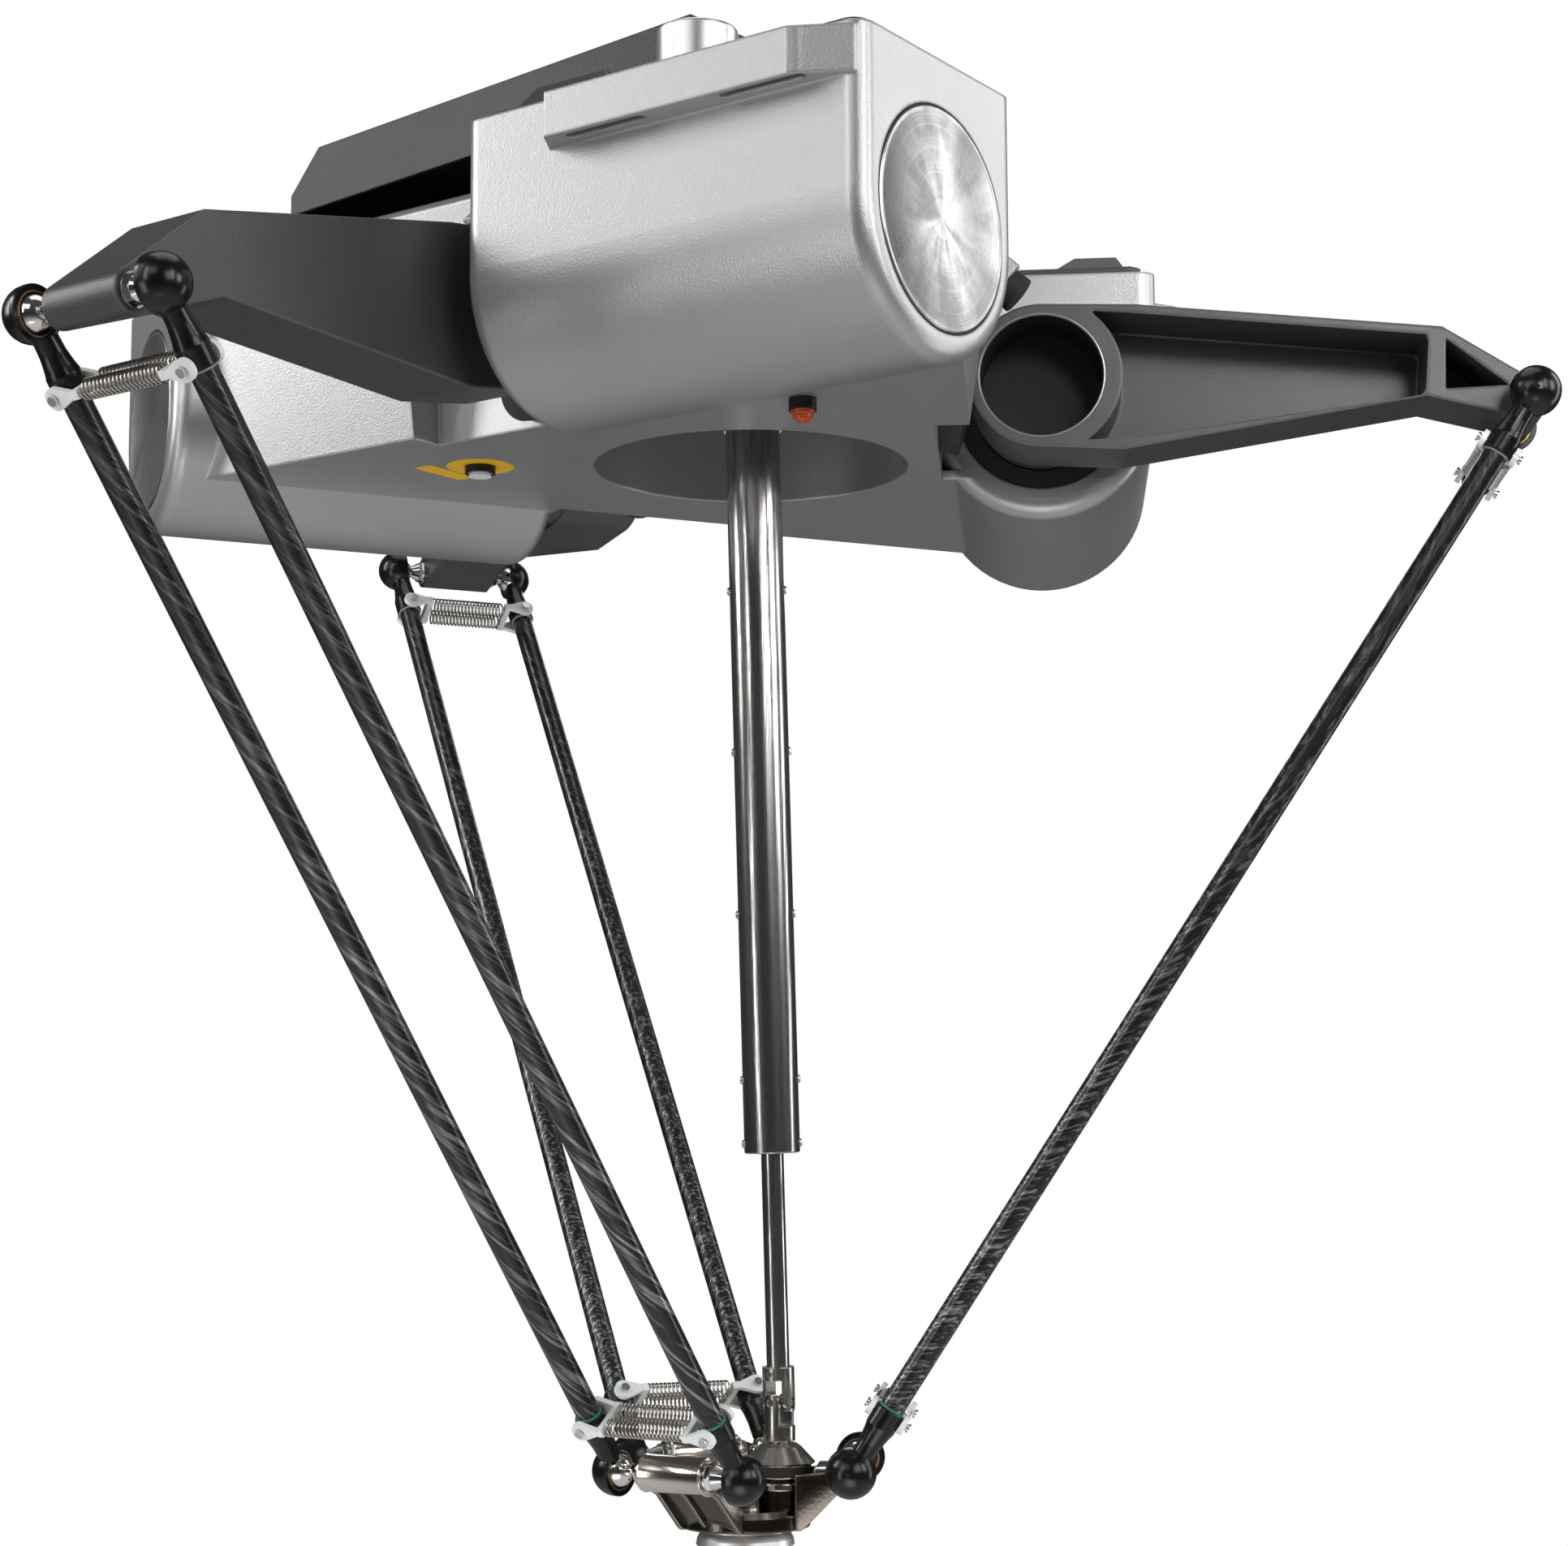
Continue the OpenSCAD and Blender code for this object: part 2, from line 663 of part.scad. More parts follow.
module main_cavity() difference() {
    polygon([[30, hub_top - rim], [52, hub_top - rim], [arm_knee - 10, knee_top - rim],
        [arm_knee - cross_wall, knee_top - rim - 5], [arm_knee - cross_wall, 3],
        [arm_knee - cross_wall - 3, -1], [62, -hub_r + rim + 4], [30, -hub_r + rim]]);
    circle(r = hub_r + 5);
}
module tip_cavity() polygon([[arm_knee + 2.5, knee_top - 7.5], [arm_len - 13, barrel_r - 3.5],
    [arm_knee + 4, 4]]);

// Drawn in the side view; Z runs to the arm's open side
module arm(k) color([0.2, 0.2, 0.2]) on_arm(k) rotate([90, 0, 0]) difference() {
    union() {
        translate([0, 0, -arm_w / 2]) linear_extrude(arm_w) {
            circle(r = hub_r);
            translate([arm_len, 0]) circle(r = barrel_r);
            arm_web();
        }
        translate([0, 0, -boss_to]) cylinder(r = hub_boss_r, h = boss_to);
        translate([0, 0, -boss_to - spigot_len]) cylinder(r = spigot_r, h = spigot_len + eps);
    }
    translate([0, 0, -hub_floor]) cylinder(r = hub_bore_r, h = 100);
    translate([0, 0, -arm_w / 2 + arm_back]) linear_extrude(100) {
        main_cavity();
        tip_cavity();
    }
    translate([arm_len, 0, -arm_w]) cylinder(r = stud_shank_r + fit_gap, h = 2 * arm_w);
}

// ---- Ball studs ---------------------------------------------------------------------------

// A stud along +Z from the middle of its barrel, with its ball at ball_y
module stud(seat, shank_from) {
    translate([0, 0, ball_y]) sphere(r = ball_r);
    translate([0, 0, shank_from]) cylinder(r = stud_shank_r, h = seat - shank_from + eps);
    // spacer, hexagon and cone
    translate([0, 0, seat]) cylinder(r = barrel_r - 2.5, h = 1.6);
    translate([0, 0, seat + 1.6 - eps]) cylinder(r = 8.4, h = 3, $fn = 6);
    translate([0, 0, seat + 4.6 - 2 * eps]) rotate_extrude()
        polygon([[0, 0], [7.2, 0], [neck_r, ball_y - seat - 4.6 - ball_r + 1.5],
                 [neck_r, ball_y - seat - 4.6], [0, ball_y - seat - 4.6]]);
}

module stud_pair(k, middle, seat, shank_from) for (side = [-1, 1])
    frame_at(middle, side * tangent(k), [0, 0, 1]) stud(seat, shank_from);

module upper_studs(k) color([0.8, 0.8, 0.8]) stud_pair(k, elbow(k), arm_w / 2, 8);
module lower_studs(k) color([0.8, 0.8, 0.8]) stud_pair(k, foot(k), barrel_len / 2 + run_gap, 6);

// ---- Rods ---------------------------------------------------------------------------------

module rod_tubes(k) color([0.12, 0.12, 0.12]) for (side = [-1, 1]) at_socket(k, side, true)
    translate([0, 0, rod_from]) ring(rod_r, rod_r - rod_wall, rod_len - 2 * rod_from);

// Half ball with a short straight mouth, its dome towards +Y
module cup(r, mouth) rotate([-90, 0, 0]) rotate_extrude() {
    intersection() {
        circle(r = r);
        square(r + 1);
    }
    translate([0, -mouth]) square([r, mouth]);
}

module rod_sockets(k) color([0.05, 0.05, 0.05]) each_socket(k) difference() {
    union() {
        cup(socket_r, mouth_y);
        rotate_extrude() polygon([[0, 8], [7, 8], [7.4, 22], [8.6, 30], [collar_r, 34],
            [collar_r, collar_z - 1], [collar_r - 1, collar_z], [0, collar_z]]);
    }
    cup(liner_out, socket_r);
    translate([0, 0, rod_from]) cylinder(r = rod_r + fit_gap, h = 100);
    translate([-50, 0, pin_z]) rotate([0, 90, 0]) cylinder(r = pin_r, h = 100);
}

module socket_liners(k) color([0.6, 0.45, 0.25]) each_socket(k) difference() {
    cup(liner_out, mouth_y);
    cup(liner_in, mouth_y + 1);
}

// Wishbone clips: two eyes on a pin through the collar, joined by a bridge that takes the springs
module clip_pins(k) color([0.75, 0.75, 0.75]) each_socket(k) for (end = [-1, 1])
    translate([end * (rod_r + 0.2), 0, pin_z]) rotate([0, end * 90, 0]) {
        cylinder(r = pin_r, h = pin_out - rod_r);
        translate([0, 0, pin_out - rod_r - 1.6]) cylinder(r = pin_r + 0.9, h = 1.6);
    }

module clip_profile() {
    circle(r = eye_r);
    polygon([[-2.4, -eye_r * 0.93], [-bridge_y + 5.4, -bridge_h / 2 + 0.3], [-bridge_y, -bridge_h / 2],
             [-bridge_y, bridge_h / 2], [-bridge_y + 5.4, bridge_h / 2 - 0.3],
             [-2.4, eye_r * 0.93]]);
}

module spring_clips(k) color([0.93, 0.93, 0.92]) each_socket(k) translate([0, 0, pin_z])
    difference() {
        union() {
            for (end = [-1, 1]) translate([end * (collar_r + 0.2 + clip_t / 2) , 0, 0])
                rotate([90, 0, 90]) translate([0, 0, -clip_t / 2])
                linear_extrude(clip_t) clip_profile();
            translate([-collar_r - clip_t - 0.2, -bridge_y, -bridge_h / 2])
                cube([2 * (collar_r + clip_t + 0.2), bridge_t, bridge_h]);
        }
        translate([-50, 0, 0]) rotate([0, 90, 0]) cylinder(r = pin_r + run_gap / 2, h = 100);
    }

// Two springs between the bridges of a pair's clips, drawn as sleeves with a groove for each gap
module springs(k) color([0.7, 0.68, 0.65]) for (low = [false, true], side = [-1, 1])
    between_clips(k, low) translate([side * spring_x, 0, -spring_half]) rotate_extrude()
        difference() {
            translate([spring_r - wire_d, 0]) square([wire_d, 2 * spring_half]);
            for (n = [1:turns]) translate([spring_r, (n - 0.5) * 2 * spring_half / turns])
                circle(r = wire_d * 0.42, $fn = 24);
        }

// Half way between the pins of a pair, Z from one rod to the other
module between_clips(k, low) {
    along = unit(elbow(k) - foot(k)) * (low ? 1 : -1);
    frame_at((low ? foot(k) : elbow(k)) + pin_z * along, tangent(k), along) children();
}

// ---- Theta shaft --------------------------------------------------------------------------

// Two ears across X, down to a collar below; the bore takes a pin along X
module fork(collar_len, gap) difference() {
    union() {
        translate([0, 0, -collar_gap - collar_len]) cylinder(d = yoke_d, h = collar_len);
        intersection() {
            translate([0, 0, -collar_gap - 1]) cylinder(d = yoke_d, h = 40);
            for (side = [-1, 1]) translate([side * (ear_in + yoke_d) , 0, 0])
                rotate([90, 0, 90]) translate([0, 0, -yoke_d]) linear_extrude(2 * yoke_d) {
                    circle(d = ear_w);
                    translate([-ear_w / 2, -40]) square([ear_w, 40]);
                }
        }
    }
    rotate([0, 90, 0]) cylinder(r = cross_r + gap, h = 100, center = true);
}

module cross_piece() {
    cube([8.4, 8.4, 7.6], center = true);
    for (a = [0, 90]) rotate([0, 90, a]) cylinder(r = cross_r, h = yoke_d - 2, center = true);
}

module at_upper_joint() translate(upper_joint) rotate([0, 0, yoke_turn + fork_turn - 90])
    children();

module output_yoke() color([0.6, 0.6, 0.62]) at_upper_joint() rotate([180, 0, 0]) {
    rotate([0, 0, 90]) fork(12, fit_gap);
    translate([0, 0, -well_roof + theta_top - 9]) cylinder(r = 8, h = 5);
    translate([0, 0, -well_roof + theta_top - 8]) cylinder(r = 8, h = well_roof - theta_top - 17);
}
module upper_cross() color([0.7, 0.7, 0.72]) at_upper_joint() cross_piece();

module tube_yoke() color([0.6, 0.6, 0.62]) on_shaft() difference() {
    union() {
        rotate([0, 0, fork_turn]) fork(tube_from - collar_gap, cross_gap);
        translate([0, 0, -tube_from]) cylinder(d = tube_d, h = 4);
        translate([0, 0, -tube_from - plug_len]) cylinder(r = tube_bore_r - fit_gap,
            h = plug_len + eps);
    }
    for (side = [-1, 1]) translate([side * tube_bore_r, 0, -tube_from - plug_len - 1])
        translate([-rail_h, -rail_w / 2 - fit_gap, 0]) cube([2 * rail_h, rail_w + 2 * fit_gap,
            plug_len - 4]);
}

module on_tube_sides() for (side = [0, 180]) rotate([0, 0, side]) children();

module outer_tube() color([0.75, 0.74, 0.73]) on_shaft() difference() {
    rotate_extrude() translate([0, -tube_len]) difference() {
        union() {
            square([tube_d / 2 - 1, tube_len - tube_from]);
            translate([0, 1]) square([tube_d / 2, tube_len - tube_from - 1]);
            translate([tube_d / 2 - 1, 1]) circle(1);
        }
        translate([-1, -1]) square([tube_bore_r + 1, tube_len + 2]);
    }
    on_tube_sides() for (z = tube_screws_at) translate([0, 0, -z]) rotate([0, 90, 0])
        cylinder(d = tube_screw_d + 2 * fit_gap, h = tube_d);
}

module guide_rails() color([0.55, 0.55, 0.57]) on_shaft() on_tube_sides() difference() {
    intersection() {
        translate([0, 0, -tube_len + bush_len + 1]) cylinder(r = tube_bore_r - fit_gap,
            h = tube_len - bush_len - 1 - tube_from - 6);
        translate([tube_bore_r - rail_h, -rail_w / 2, -tube_len]) cube([rail_h, rail_w, tube_len]);
    }
    for (z = tube_screws_at) translate([tube_bore_r - 2.2, 0, -z]) rotate([0, 90, 0])
        cylinder(d = tube_screw_d + 2 * fit_gap, h = tube_d);
}

module tube_screws() color([0.8, 0.8, 0.8]) on_shaft() on_tube_sides() for (z = tube_screws_at)
    translate([tube_d / 2, 0, -z]) rotate([0, 90, 0]) button_screw(tube_screw_d,
        tube_wall + 2);

module tube_bush() color([0.75, 0.73, 0.7]) on_shaft() difference() {
    translate([0, 0, -tube_len + 1.5]) ring(tube_bore_r - fit_gap, shaft_d / 2 + run_gap,
        bush_len - 2.5);
    on_tube_sides() for (z = tube_screws_at) translate([tube_bore_r - 2.2, 0, -z])
        rotate([0, 90, 0]) cylinder(d = tube_screw_d + 2 * fit_gap, h = 10);
}

module at_lower_joint() translate(lower_joint) rotate([0, 0, yoke_turn + fork_turn - 90])
    children();
module on_inner() frame_at(lower_joint, lean, [cos(yoke_turn), sin(yoke_turn), 0]) children();

module inner_shaft() color([0.8, 0.79, 0.78]) on_inner() difference() {
    union() {
        translate([0, 0, collar_gap]) cylinder(d = shaft_d, h = shaft_len - collar_gap);
        translate([0, 0, shaft_len - guide_len]) cylinder(r = tube_bore_r - run_gap,
            h = guide_len - 1);
    }
    on_tube_sides() translate([tube_bore_r - rail_h - run_gap, -rail_w / 2 - run_gap,
        shaft_len - guide_len - 1]) cube([rail_h + 2, rail_w + 2 * run_gap, guide_len + 2]);
}

module shaft_yoke() color([0.62, 0.6, 0.58]) on_inner() rotate([180, 0, 0])
    rotate([0, 0, -fork_turn - 90]) difference() {
        fork(8, cross_gap);
        translate([0, 0, -60]) cylinder(d = shaft_d + 2 * fit_gap, h = 60 - collar_gap);
        translate([0, 0, -collar_gap - 4]) rotate([90, 0, 0]) cylinder(d = 4, h = 20);
    }

module lower_cross() color([0.7, 0.7, 0.72]) at_lower_joint() cross_piece();

// Spur gear, teeth thinned for backlash
module spur(teeth, h, turn) linear_extrude(h) rotate(turn) {
    pitch_r = teeth * gear_module / 2;
    circle(r = pitch_r - 1.25 * gear_module);
    for (n = [0:teeth - 1]) rotate(n * 360 / teeth) polygon([
        [pitch_r - 1.4 * gear_module, -0.85 * gear_module], [pitch_r, -0.62 * gear_module],
        [pitch_r + 0.9 * gear_module, -0.3 * gear_module],
        [pitch_r + 0.9 * gear_module, 0.3 * gear_module], [pitch_r, 0.62 * gear_module],
        [pitch_r - 1.4 * gear_module, 0.85 * gear_module]]);
}

module pinion_shaft() color([0.6, 0.6, 0.62]) {
    at_lower_joint() difference() {
        fork(9.4, fit_gap);
        translate([0, 0, -collar_gap - 5]) rotate([90, 0, 45]) cylinder(d = 4.2, h = 20);
    }
    on_platform() translate(theta_plat * radial(B)) {
        translate([0, 0, gear_z + gear_w]) cylinder(r = pinion_bore_r,
            h = theta_low - collar_gap - 9.4 - gear_z - gear_w + eps);
        translate([0, 0, gear_z]) spur(pinion_teeth, gear_w, arm_az[B] + 180);
    }
}

// ---- Platform -----------------------------------------------------------------------------

module platform_arm(k) rotate([0, 0, arm_az[k]]) {
    translate([plat_r, -barrel_len / 2, 0]) rotate([-90, 0, 0]) cylinder(r = barrel_r,
        h = barrel_len);
    // two ribs down to the disc, a sloping floor between them and a flat top
    for (y = [-1, 1]) translate([0, y * (barrel_len / 2 - 6) + 2, 0]) rotate([90, 0, 0])
        linear_extrude(4) polygon([[plat_r, -barrel_r + 3], [plat_r - 8, -barrel_r - 3],
            [disc_r - 3, disc_bottom], [15, disc_bottom], [15, -4], [plat_r - 8, 0]]);
    translate([0, barrel_len / 2 - 6, 0]) rotate([90, 0, 0]) linear_extrude(barrel_len - 12)
        polygon([[plat_r - 12, -4], [plat_r - 4, -barrel_r + 3], [disc_r - 4, disc_bottom],
            [disc_r - 11, disc_bottom], [plat_r - 18, -4]]);
    translate([0, 0, -4]) linear_extrude(4.5) polygon([[10, -16], [plat_r - 8, 8 - barrel_len / 2],
        [plat_r - 8, barrel_len / 2 - 8], [10, 16]]);
}

module platform_body() color([0.5, 0.46, 0.42]) on_platform() difference() {
    union() {
        translate([0, 0, disc_bottom]) cylinder(r = disc_r, h = disc_top - disc_bottom);
        translate([0, 0, disc_top - eps]) cylinder(r = 30, h = -disc_top - 4);
        translate(theta_plat * radial(B)) {
            translate([0, 0, disc_top - eps]) cylinder(r = boss_r + 4, h = hub_ledge - disc_top);
            translate([0, 0, hub_ledge - 1]) cylinder(r = boss_r, h = 1.9 - hub_ledge);
        }
        for (k = [A, B, C]) platform_arm(k);
    }
    for (k = [A, B, C]) rotate([0, 0, arm_az[k]]) translate([plat_r, -50, 0])
        rotate([-90, 0, 0]) cylinder(r = stud_shank_r + stud_room, h = 100);
    // gear case, bearing seat, pinion bearings' seat
    translate([0, 0, gear_z - 1]) cylinder(r = gear_module * (gear_teeth / 2 + 1) + gear_room,
        h = gear_w + 3);
    translate(theta_plat * radial(B)) {
        translate([0, 0, gear_z - 1]) cylinder(r = gear_module * (pinion_teeth / 2 + 1)
            + gear_room, h = gear_w + 3);
        translate([0, 0, gear_z]) cylinder(r = 13, h = 100);
    }
    translate([0, 0, disc_bottom - 1]) cylinder(r = bearing_r, h = gear_z - disc_bottom);
}

module boss_cover() color([0.75, 0.73, 0.7]) on_platform() translate(theta_plat * radial(B))
    difference() {
        translate([0, 0, 0.9]) rotate_extrude() polygon([[0, 0], [boss_r + 2, 0],
            [boss_r + 3, 1], [14, cone_top - 3], [11, cone_top - 0.9], [0, cone_top - 0.9]]);
        translate([0, 0, -1]) cylinder(r = pinion_bore_r + run_gap, h = 40);
    }

module platform_bearings() color([0.7, 0.7, 0.72]) on_platform() {
    translate([0, 0, disc_bottom]) ring(bearing_r - fit_gap, boss_r + run_gap,
        gear_z - 1 - disc_bottom - 0.1);
    translate(theta_plat * radial(B)) for (z = [gear_z + gear_w + 4, -7]) translate([0, 0, z])
        ring(13 - fit_gap, pinion_bore_r + run_gap, 7);
}

module flange_gear() color([0.55, 0.55, 0.57]) on_platform() translate([0, 0, gear_z])
    difference() {
        spur(gear_teeth, gear_w, arm_az[B] + 180 / gear_teeth);
        translate([0, 0, -1]) cylinder(r = 6 + fit_gap, h = gear_w + 2);
    }

module tool_flange() color([0.85, 0.85, 0.85]) on_platform() difference() {
    union() {
        rotate_extrude() polygon([[0, flange_z], [flange_d / 2 - 0.6, flange_z],
            [flange_d / 2, flange_z + 0.6], [flange_d / 2 - 0.6, flange_z + 4.5],
            [flange_d / 2 - 3, flange_z + 9], [flange_d / 2 - 3, disc_bottom - run_gap],
            [0, disc_bottom - run_gap]]);
        translate([0, 0, disc_bottom - 1]) cylinder(r = boss_r, h = gear_z - disc_bottom - run_gap);
        translate([0, 0, gear_z - 2]) cylinder(r = 6, h = gear_w + 2);
    }
    translate([0, 0, flange_z - 1]) cylinder(d = flange_bore, h = 6);
    for (a = [45:90:315]) rotate(a) translate([flange_pcd / 2, 0, flange_z - 1])
        cylinder(d = 6, h = 40);
}

// ---- Assembly -----------------------------------------------------------------------------
base_casting();
end_caps();
housing_lids();
centre_lid();
lid_gaskets();
lid_screws();
arm_motors();
arm_gearboxes();
shaft_seals();
amplifier_cover();
earth_post();
beacon_base();
beacon_lens();
brake_collar();
brake_button();
arm_bumpers();
theta_motor();
arm(A);  // arm_a
arm(B);  // arm_b
arm(C);  // arm_c
upper_studs(A);  // upper_studs_a
upper_studs(B);  // upper_studs_b
upper_studs(C);  // upper_studs_c
rod_tubes(A);  // rod_tubes_a
rod_tubes(B);  // rod_tubes_b
rod_tubes(C);  // rod_tubes_c
rod_sockets(A);  // rod_sockets_a
rod_sockets(B);  // rod_sockets_b
rod_sockets(C);  // rod_sockets_c
socket_liners(A);  // socket_liners_a
socket_liners(B);  // socket_liners_b
socket_liners(C);  // socket_liners_c
springs(A);  // springs_a
springs(B);  // springs_b
springs(C);  // springs_c
spring_clips(A);  // spring_clips_a
spring_clips(B);  // spring_clips_b
spring_clips(C);  // spring_clips_c
clip_pins(A);  // clip_pins_a
clip_pins(B);  // clip_pins_b
clip_pins(C);  // clip_pins_c
lower_studs(A);  // lower_studs_a
lower_studs(B);  // lower_studs_b
lower_studs(C);  // lower_studs_c
output_yoke();
upper_cross();
outer_tube();
tube_yoke();
guide_rails();
tube_screws();
tube_bush();
inner_shaft();
shaft_yoke();
pinion_shaft();
lower_cross();
platform_body();
boss_cover();
platform_bearings();
flange_gear();
tool_flange();
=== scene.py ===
"""Looks of a ceiling-hung delta robot, piece by piece in the order it is put together."""

import json
import math

import bmesh
import bpy
from mathutils import Matrix, Vector


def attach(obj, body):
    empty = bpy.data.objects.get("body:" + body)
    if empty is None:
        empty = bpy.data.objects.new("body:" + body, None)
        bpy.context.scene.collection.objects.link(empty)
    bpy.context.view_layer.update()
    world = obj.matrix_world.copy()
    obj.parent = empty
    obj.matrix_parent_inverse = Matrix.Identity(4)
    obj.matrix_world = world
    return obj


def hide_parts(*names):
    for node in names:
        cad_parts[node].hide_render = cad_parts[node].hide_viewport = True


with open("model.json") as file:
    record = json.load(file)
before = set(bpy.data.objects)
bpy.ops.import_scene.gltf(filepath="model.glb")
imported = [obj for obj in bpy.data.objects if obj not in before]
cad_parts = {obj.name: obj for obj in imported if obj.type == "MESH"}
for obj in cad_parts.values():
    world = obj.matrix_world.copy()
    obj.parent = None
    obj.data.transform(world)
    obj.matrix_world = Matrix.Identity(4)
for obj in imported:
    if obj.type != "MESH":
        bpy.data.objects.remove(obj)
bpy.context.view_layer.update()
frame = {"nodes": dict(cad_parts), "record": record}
nodes = frame["nodes"]
joints = {joint["name"]: joint for joint in frame["record"]["behaviour"]["joints"]}

# ---- Studio -------------------------------------------------------------------------------
# A white backdrop round a dim room. Soft lamps stand down both sides, in front, behind and
# above, tall ones drawing the long highlights, a weak one lights the platform from below, and a
# narrow one picks out the right arm. The pale floor throws light up at the undersides.

scene = bpy.context.scene
scene.view_settings.view_transform = "Standard"

eye = Vector((-0.734, -1.7027, -0.5737))
eye_turn = math.radians(24.84)
eye_tilt = math.radians(7.25)
eye_roll = math.radians(-0.25)

camera = bpy.data.objects.new("camera", bpy.data.cameras.new("camera"))
camera.data.lens = 66.08
camera.data.sensor_width = 36
camera.matrix_world = (
    Matrix.Translation(eye)
    @ Matrix.Rotation(-eye_turn, 4, "Z")
    @ Matrix.Rotation(math.pi / 2 + eye_tilt, 4, "X")
    @ Matrix.Rotation(eye_roll, 4, "Z")
)
scene.collection.objects.link(camera)
scene.camera = camera

robot_middle = Vector((0.0, 0.0, -0.35))
platform_middle = Vector((0.0, 0.0, -0.78))
right_arm_middle = Vector((0.47, -0.25, -0.06))
mirrored_backdrop = 0.04
ambient_strength = 0.05
floor_height = -1.9
floor_half = 30


def lamp(name, place, width, height, watts, aim=robot_middle, spread=180):
    """A rectangular soft lamp that faces a point; its grid keeps it within a spread."""
    data = bpy.data.lights.new(name, "AREA")
    data.shape = "RECTANGLE"
    data.size = width
    data.size_y = height
    data.energy = watts
    data.spread = math.radians(spread)
    made = bpy.data.objects.new(name, data)
    toward = (aim - Vector(place)).normalized()
    made.rotation_euler = toward.to_track_quat("-Z", "Y").to_euler()
    made.location = place
    scene.collection.objects.link(made)


lamp("key_lamp", (-2.2, -2.0, 1.3), 1.2, 1.2, 8)
lamp("left_back_softbox", (-2.3, 0.95, 0.7), 0.5, 1.5, 26)
lamp("left_softbox", (-2.3, 0.0, 0.9), 0.5, 1.5, 4)
lamp("left_front_softbox", (-2.3, -0.95, 0.6), 0.35, 1.5, 11)
lamp("left_low_softbox", (-2.2, -0.5, -0.9), 0.4, 1.2, 6)
lamp("right_softbox", (2.3, -0.45, 0.9), 0.8, 1.2, 10)
lamp("right_low_softbox", (2.2, -0.6, -0.5), 0.4, 1.6, 8)
lamp("right_front_softbox", (1.8, -2.0, 0.4), 0.8, 1.2, 18)
lamp("corner_strip", (0.75, -2.6, 0.7), 0.3, 1.5, 13)
lamp("front_fill", (0.1, -2.8, 0.45), 0.8, 1.2, 11)
lamp("overhead", (0, 0.2, 2.2), 2.0, 2.0, 16)
lamp("back_fill", (1.4, 2.4, 0.9), 1.2, 1.2, 9)
lamp("low_bounce", (-0.5, -0.9, -1.6), 1.2, 0.8, 0.9, platform_middle, 60)
lamp("arm_lamp", (-0.22, -2.46, 0.65), 0.7, 0.7, 0.4, right_arm_middle, 16)

world = bpy.data.worlds.new("studio")
scene.world = world
world.use_nodes = True
sky = world.node_tree
for old in list(sky.nodes):
    sky.nodes.remove(old)
sky_out = sky.nodes.new("ShaderNodeOutputWorld")
path = sky.nodes.new("ShaderNodeLightPath")
place = sky.nodes.new("ShaderNodeTexCoord")
bands = sky.nodes.new("ShaderNodeSeparateXYZ")
room = sky.nodes.new("ShaderNodeValToRGB")
ambient = sky.nodes.new("ShaderNodeBackground")
white = sky.nodes.new("ShaderNodeBackground")
choose = sky.nodes.new("ShaderNodeMixShader")
sky.links.new(place.outputs["Generated"], bands.inputs[0])
sky.links.new(bands.outputs["Z"], room.inputs["Fac"])
sky.links.new(room.outputs["Color"], ambient.inputs["Color"])
# mirrors show a little of the white backdrop, and clear things all of it
in_mirror = sky.nodes.new("ShaderNodeMath")
in_mirror.operation = "MULTIPLY_ADD"
in_mirror.inputs[1].default_value = mirrored_backdrop
sky.links.new(path.outputs["Is Glossy Ray"], in_mirror.inputs[0])
sky.links.new(path.outputs["Is Camera Ray"], in_mirror.inputs[2])
through = sky.nodes.new("ShaderNodeMath")
through.operation = "MAXIMUM"
sky.links.new(in_mirror.outputs[0], through.inputs[0])
sky.links.new(path.outputs["Is Transmission Ray"], through.inputs[1])
sky.links.new(through.outputs[0], choose.inputs["Fac"])
sky.links.new(ambient.outputs[0], choose.inputs[1])
sky.links.new(white.outputs[0], choose.inputs[2])
sky.links.new(choose.outputs[0], sky_out.inputs["Surface"])
white.inputs["Color"].default_value = (1, 1, 1, 1)
ambient.inputs["Strength"].default_value = ambient_strength
room.color_ramp.elements[0].color = (0.08, 0.08, 0.082, 1)
room.color_ramp.elements[1].color = (0.9, 0.9, 0.92, 1)

floor_mesh = bpy.data.meshes.new("floor")
slab = bmesh.new()
bmesh.ops.create_grid(slab, x_segments=1, y_segments=1, size=floor_half)
bmesh.ops.translate(slab, verts=slab.verts, vec=(0, 0, floor_height))
slab.to_mesh(floor_mesh)
slab.free()
floor = bpy.data.objects.new("floor", floor_mesh)
scene.collection.objects.link(floor)
# unseen itself, so that it doesn't hide the robot in a view from below
floor.visible_camera = False
pale = bpy.data.materials.new("pale_floor")
pale.use_nodes = True
paper = pale.node_tree.nodes["Principled BSDF"]
paper.inputs["Base Color"].default_value = (0.85, 0.85, 0.85, 1)
paper.inputs["Roughness"].default_value = 0.9
floor_mesh.materials.append(pale)

# ---- Base casting -------------------------------------------------------------------------
# One aluminium casting with three motor housings and the tub between them. It is shot
# blasted and sprayed with a fine silver paint that dries with a slight orange peel.


def surface(name, colour, metallic, roughness, **sockets):
    """A material whose shader has these plain values; sockets are other inputs by name."""
    material = bpy.data.materials.new(name)
    material.use_nodes = True
    shader = material.node_tree.nodes["Principled BSDF"]
    shader.inputs["Base Color"].default_value = (*colour, 1)
    shader.inputs["Metallic"].default_value = metallic
    shader.inputs["Roughness"].default_value = roughness
    for socket, value in sockets.items():
        shader.inputs[socket.replace("_", " ")].default_value = value
    return material


FLOAT = "NodeSocketFloat"
COLOR = "NodeSocketColor"
VECTOR = "NodeSocketVector"
FINISH = (("Colour", COLOR, "Base Color"), ("Roughness", FLOAT, "Roughness"),
          ("Normal", VECTOR, "Normal"))
MIX_FIRST_COLOUR, MIX_SECOND_COLOUR, MIX_COLOUR = 6, 7, 2


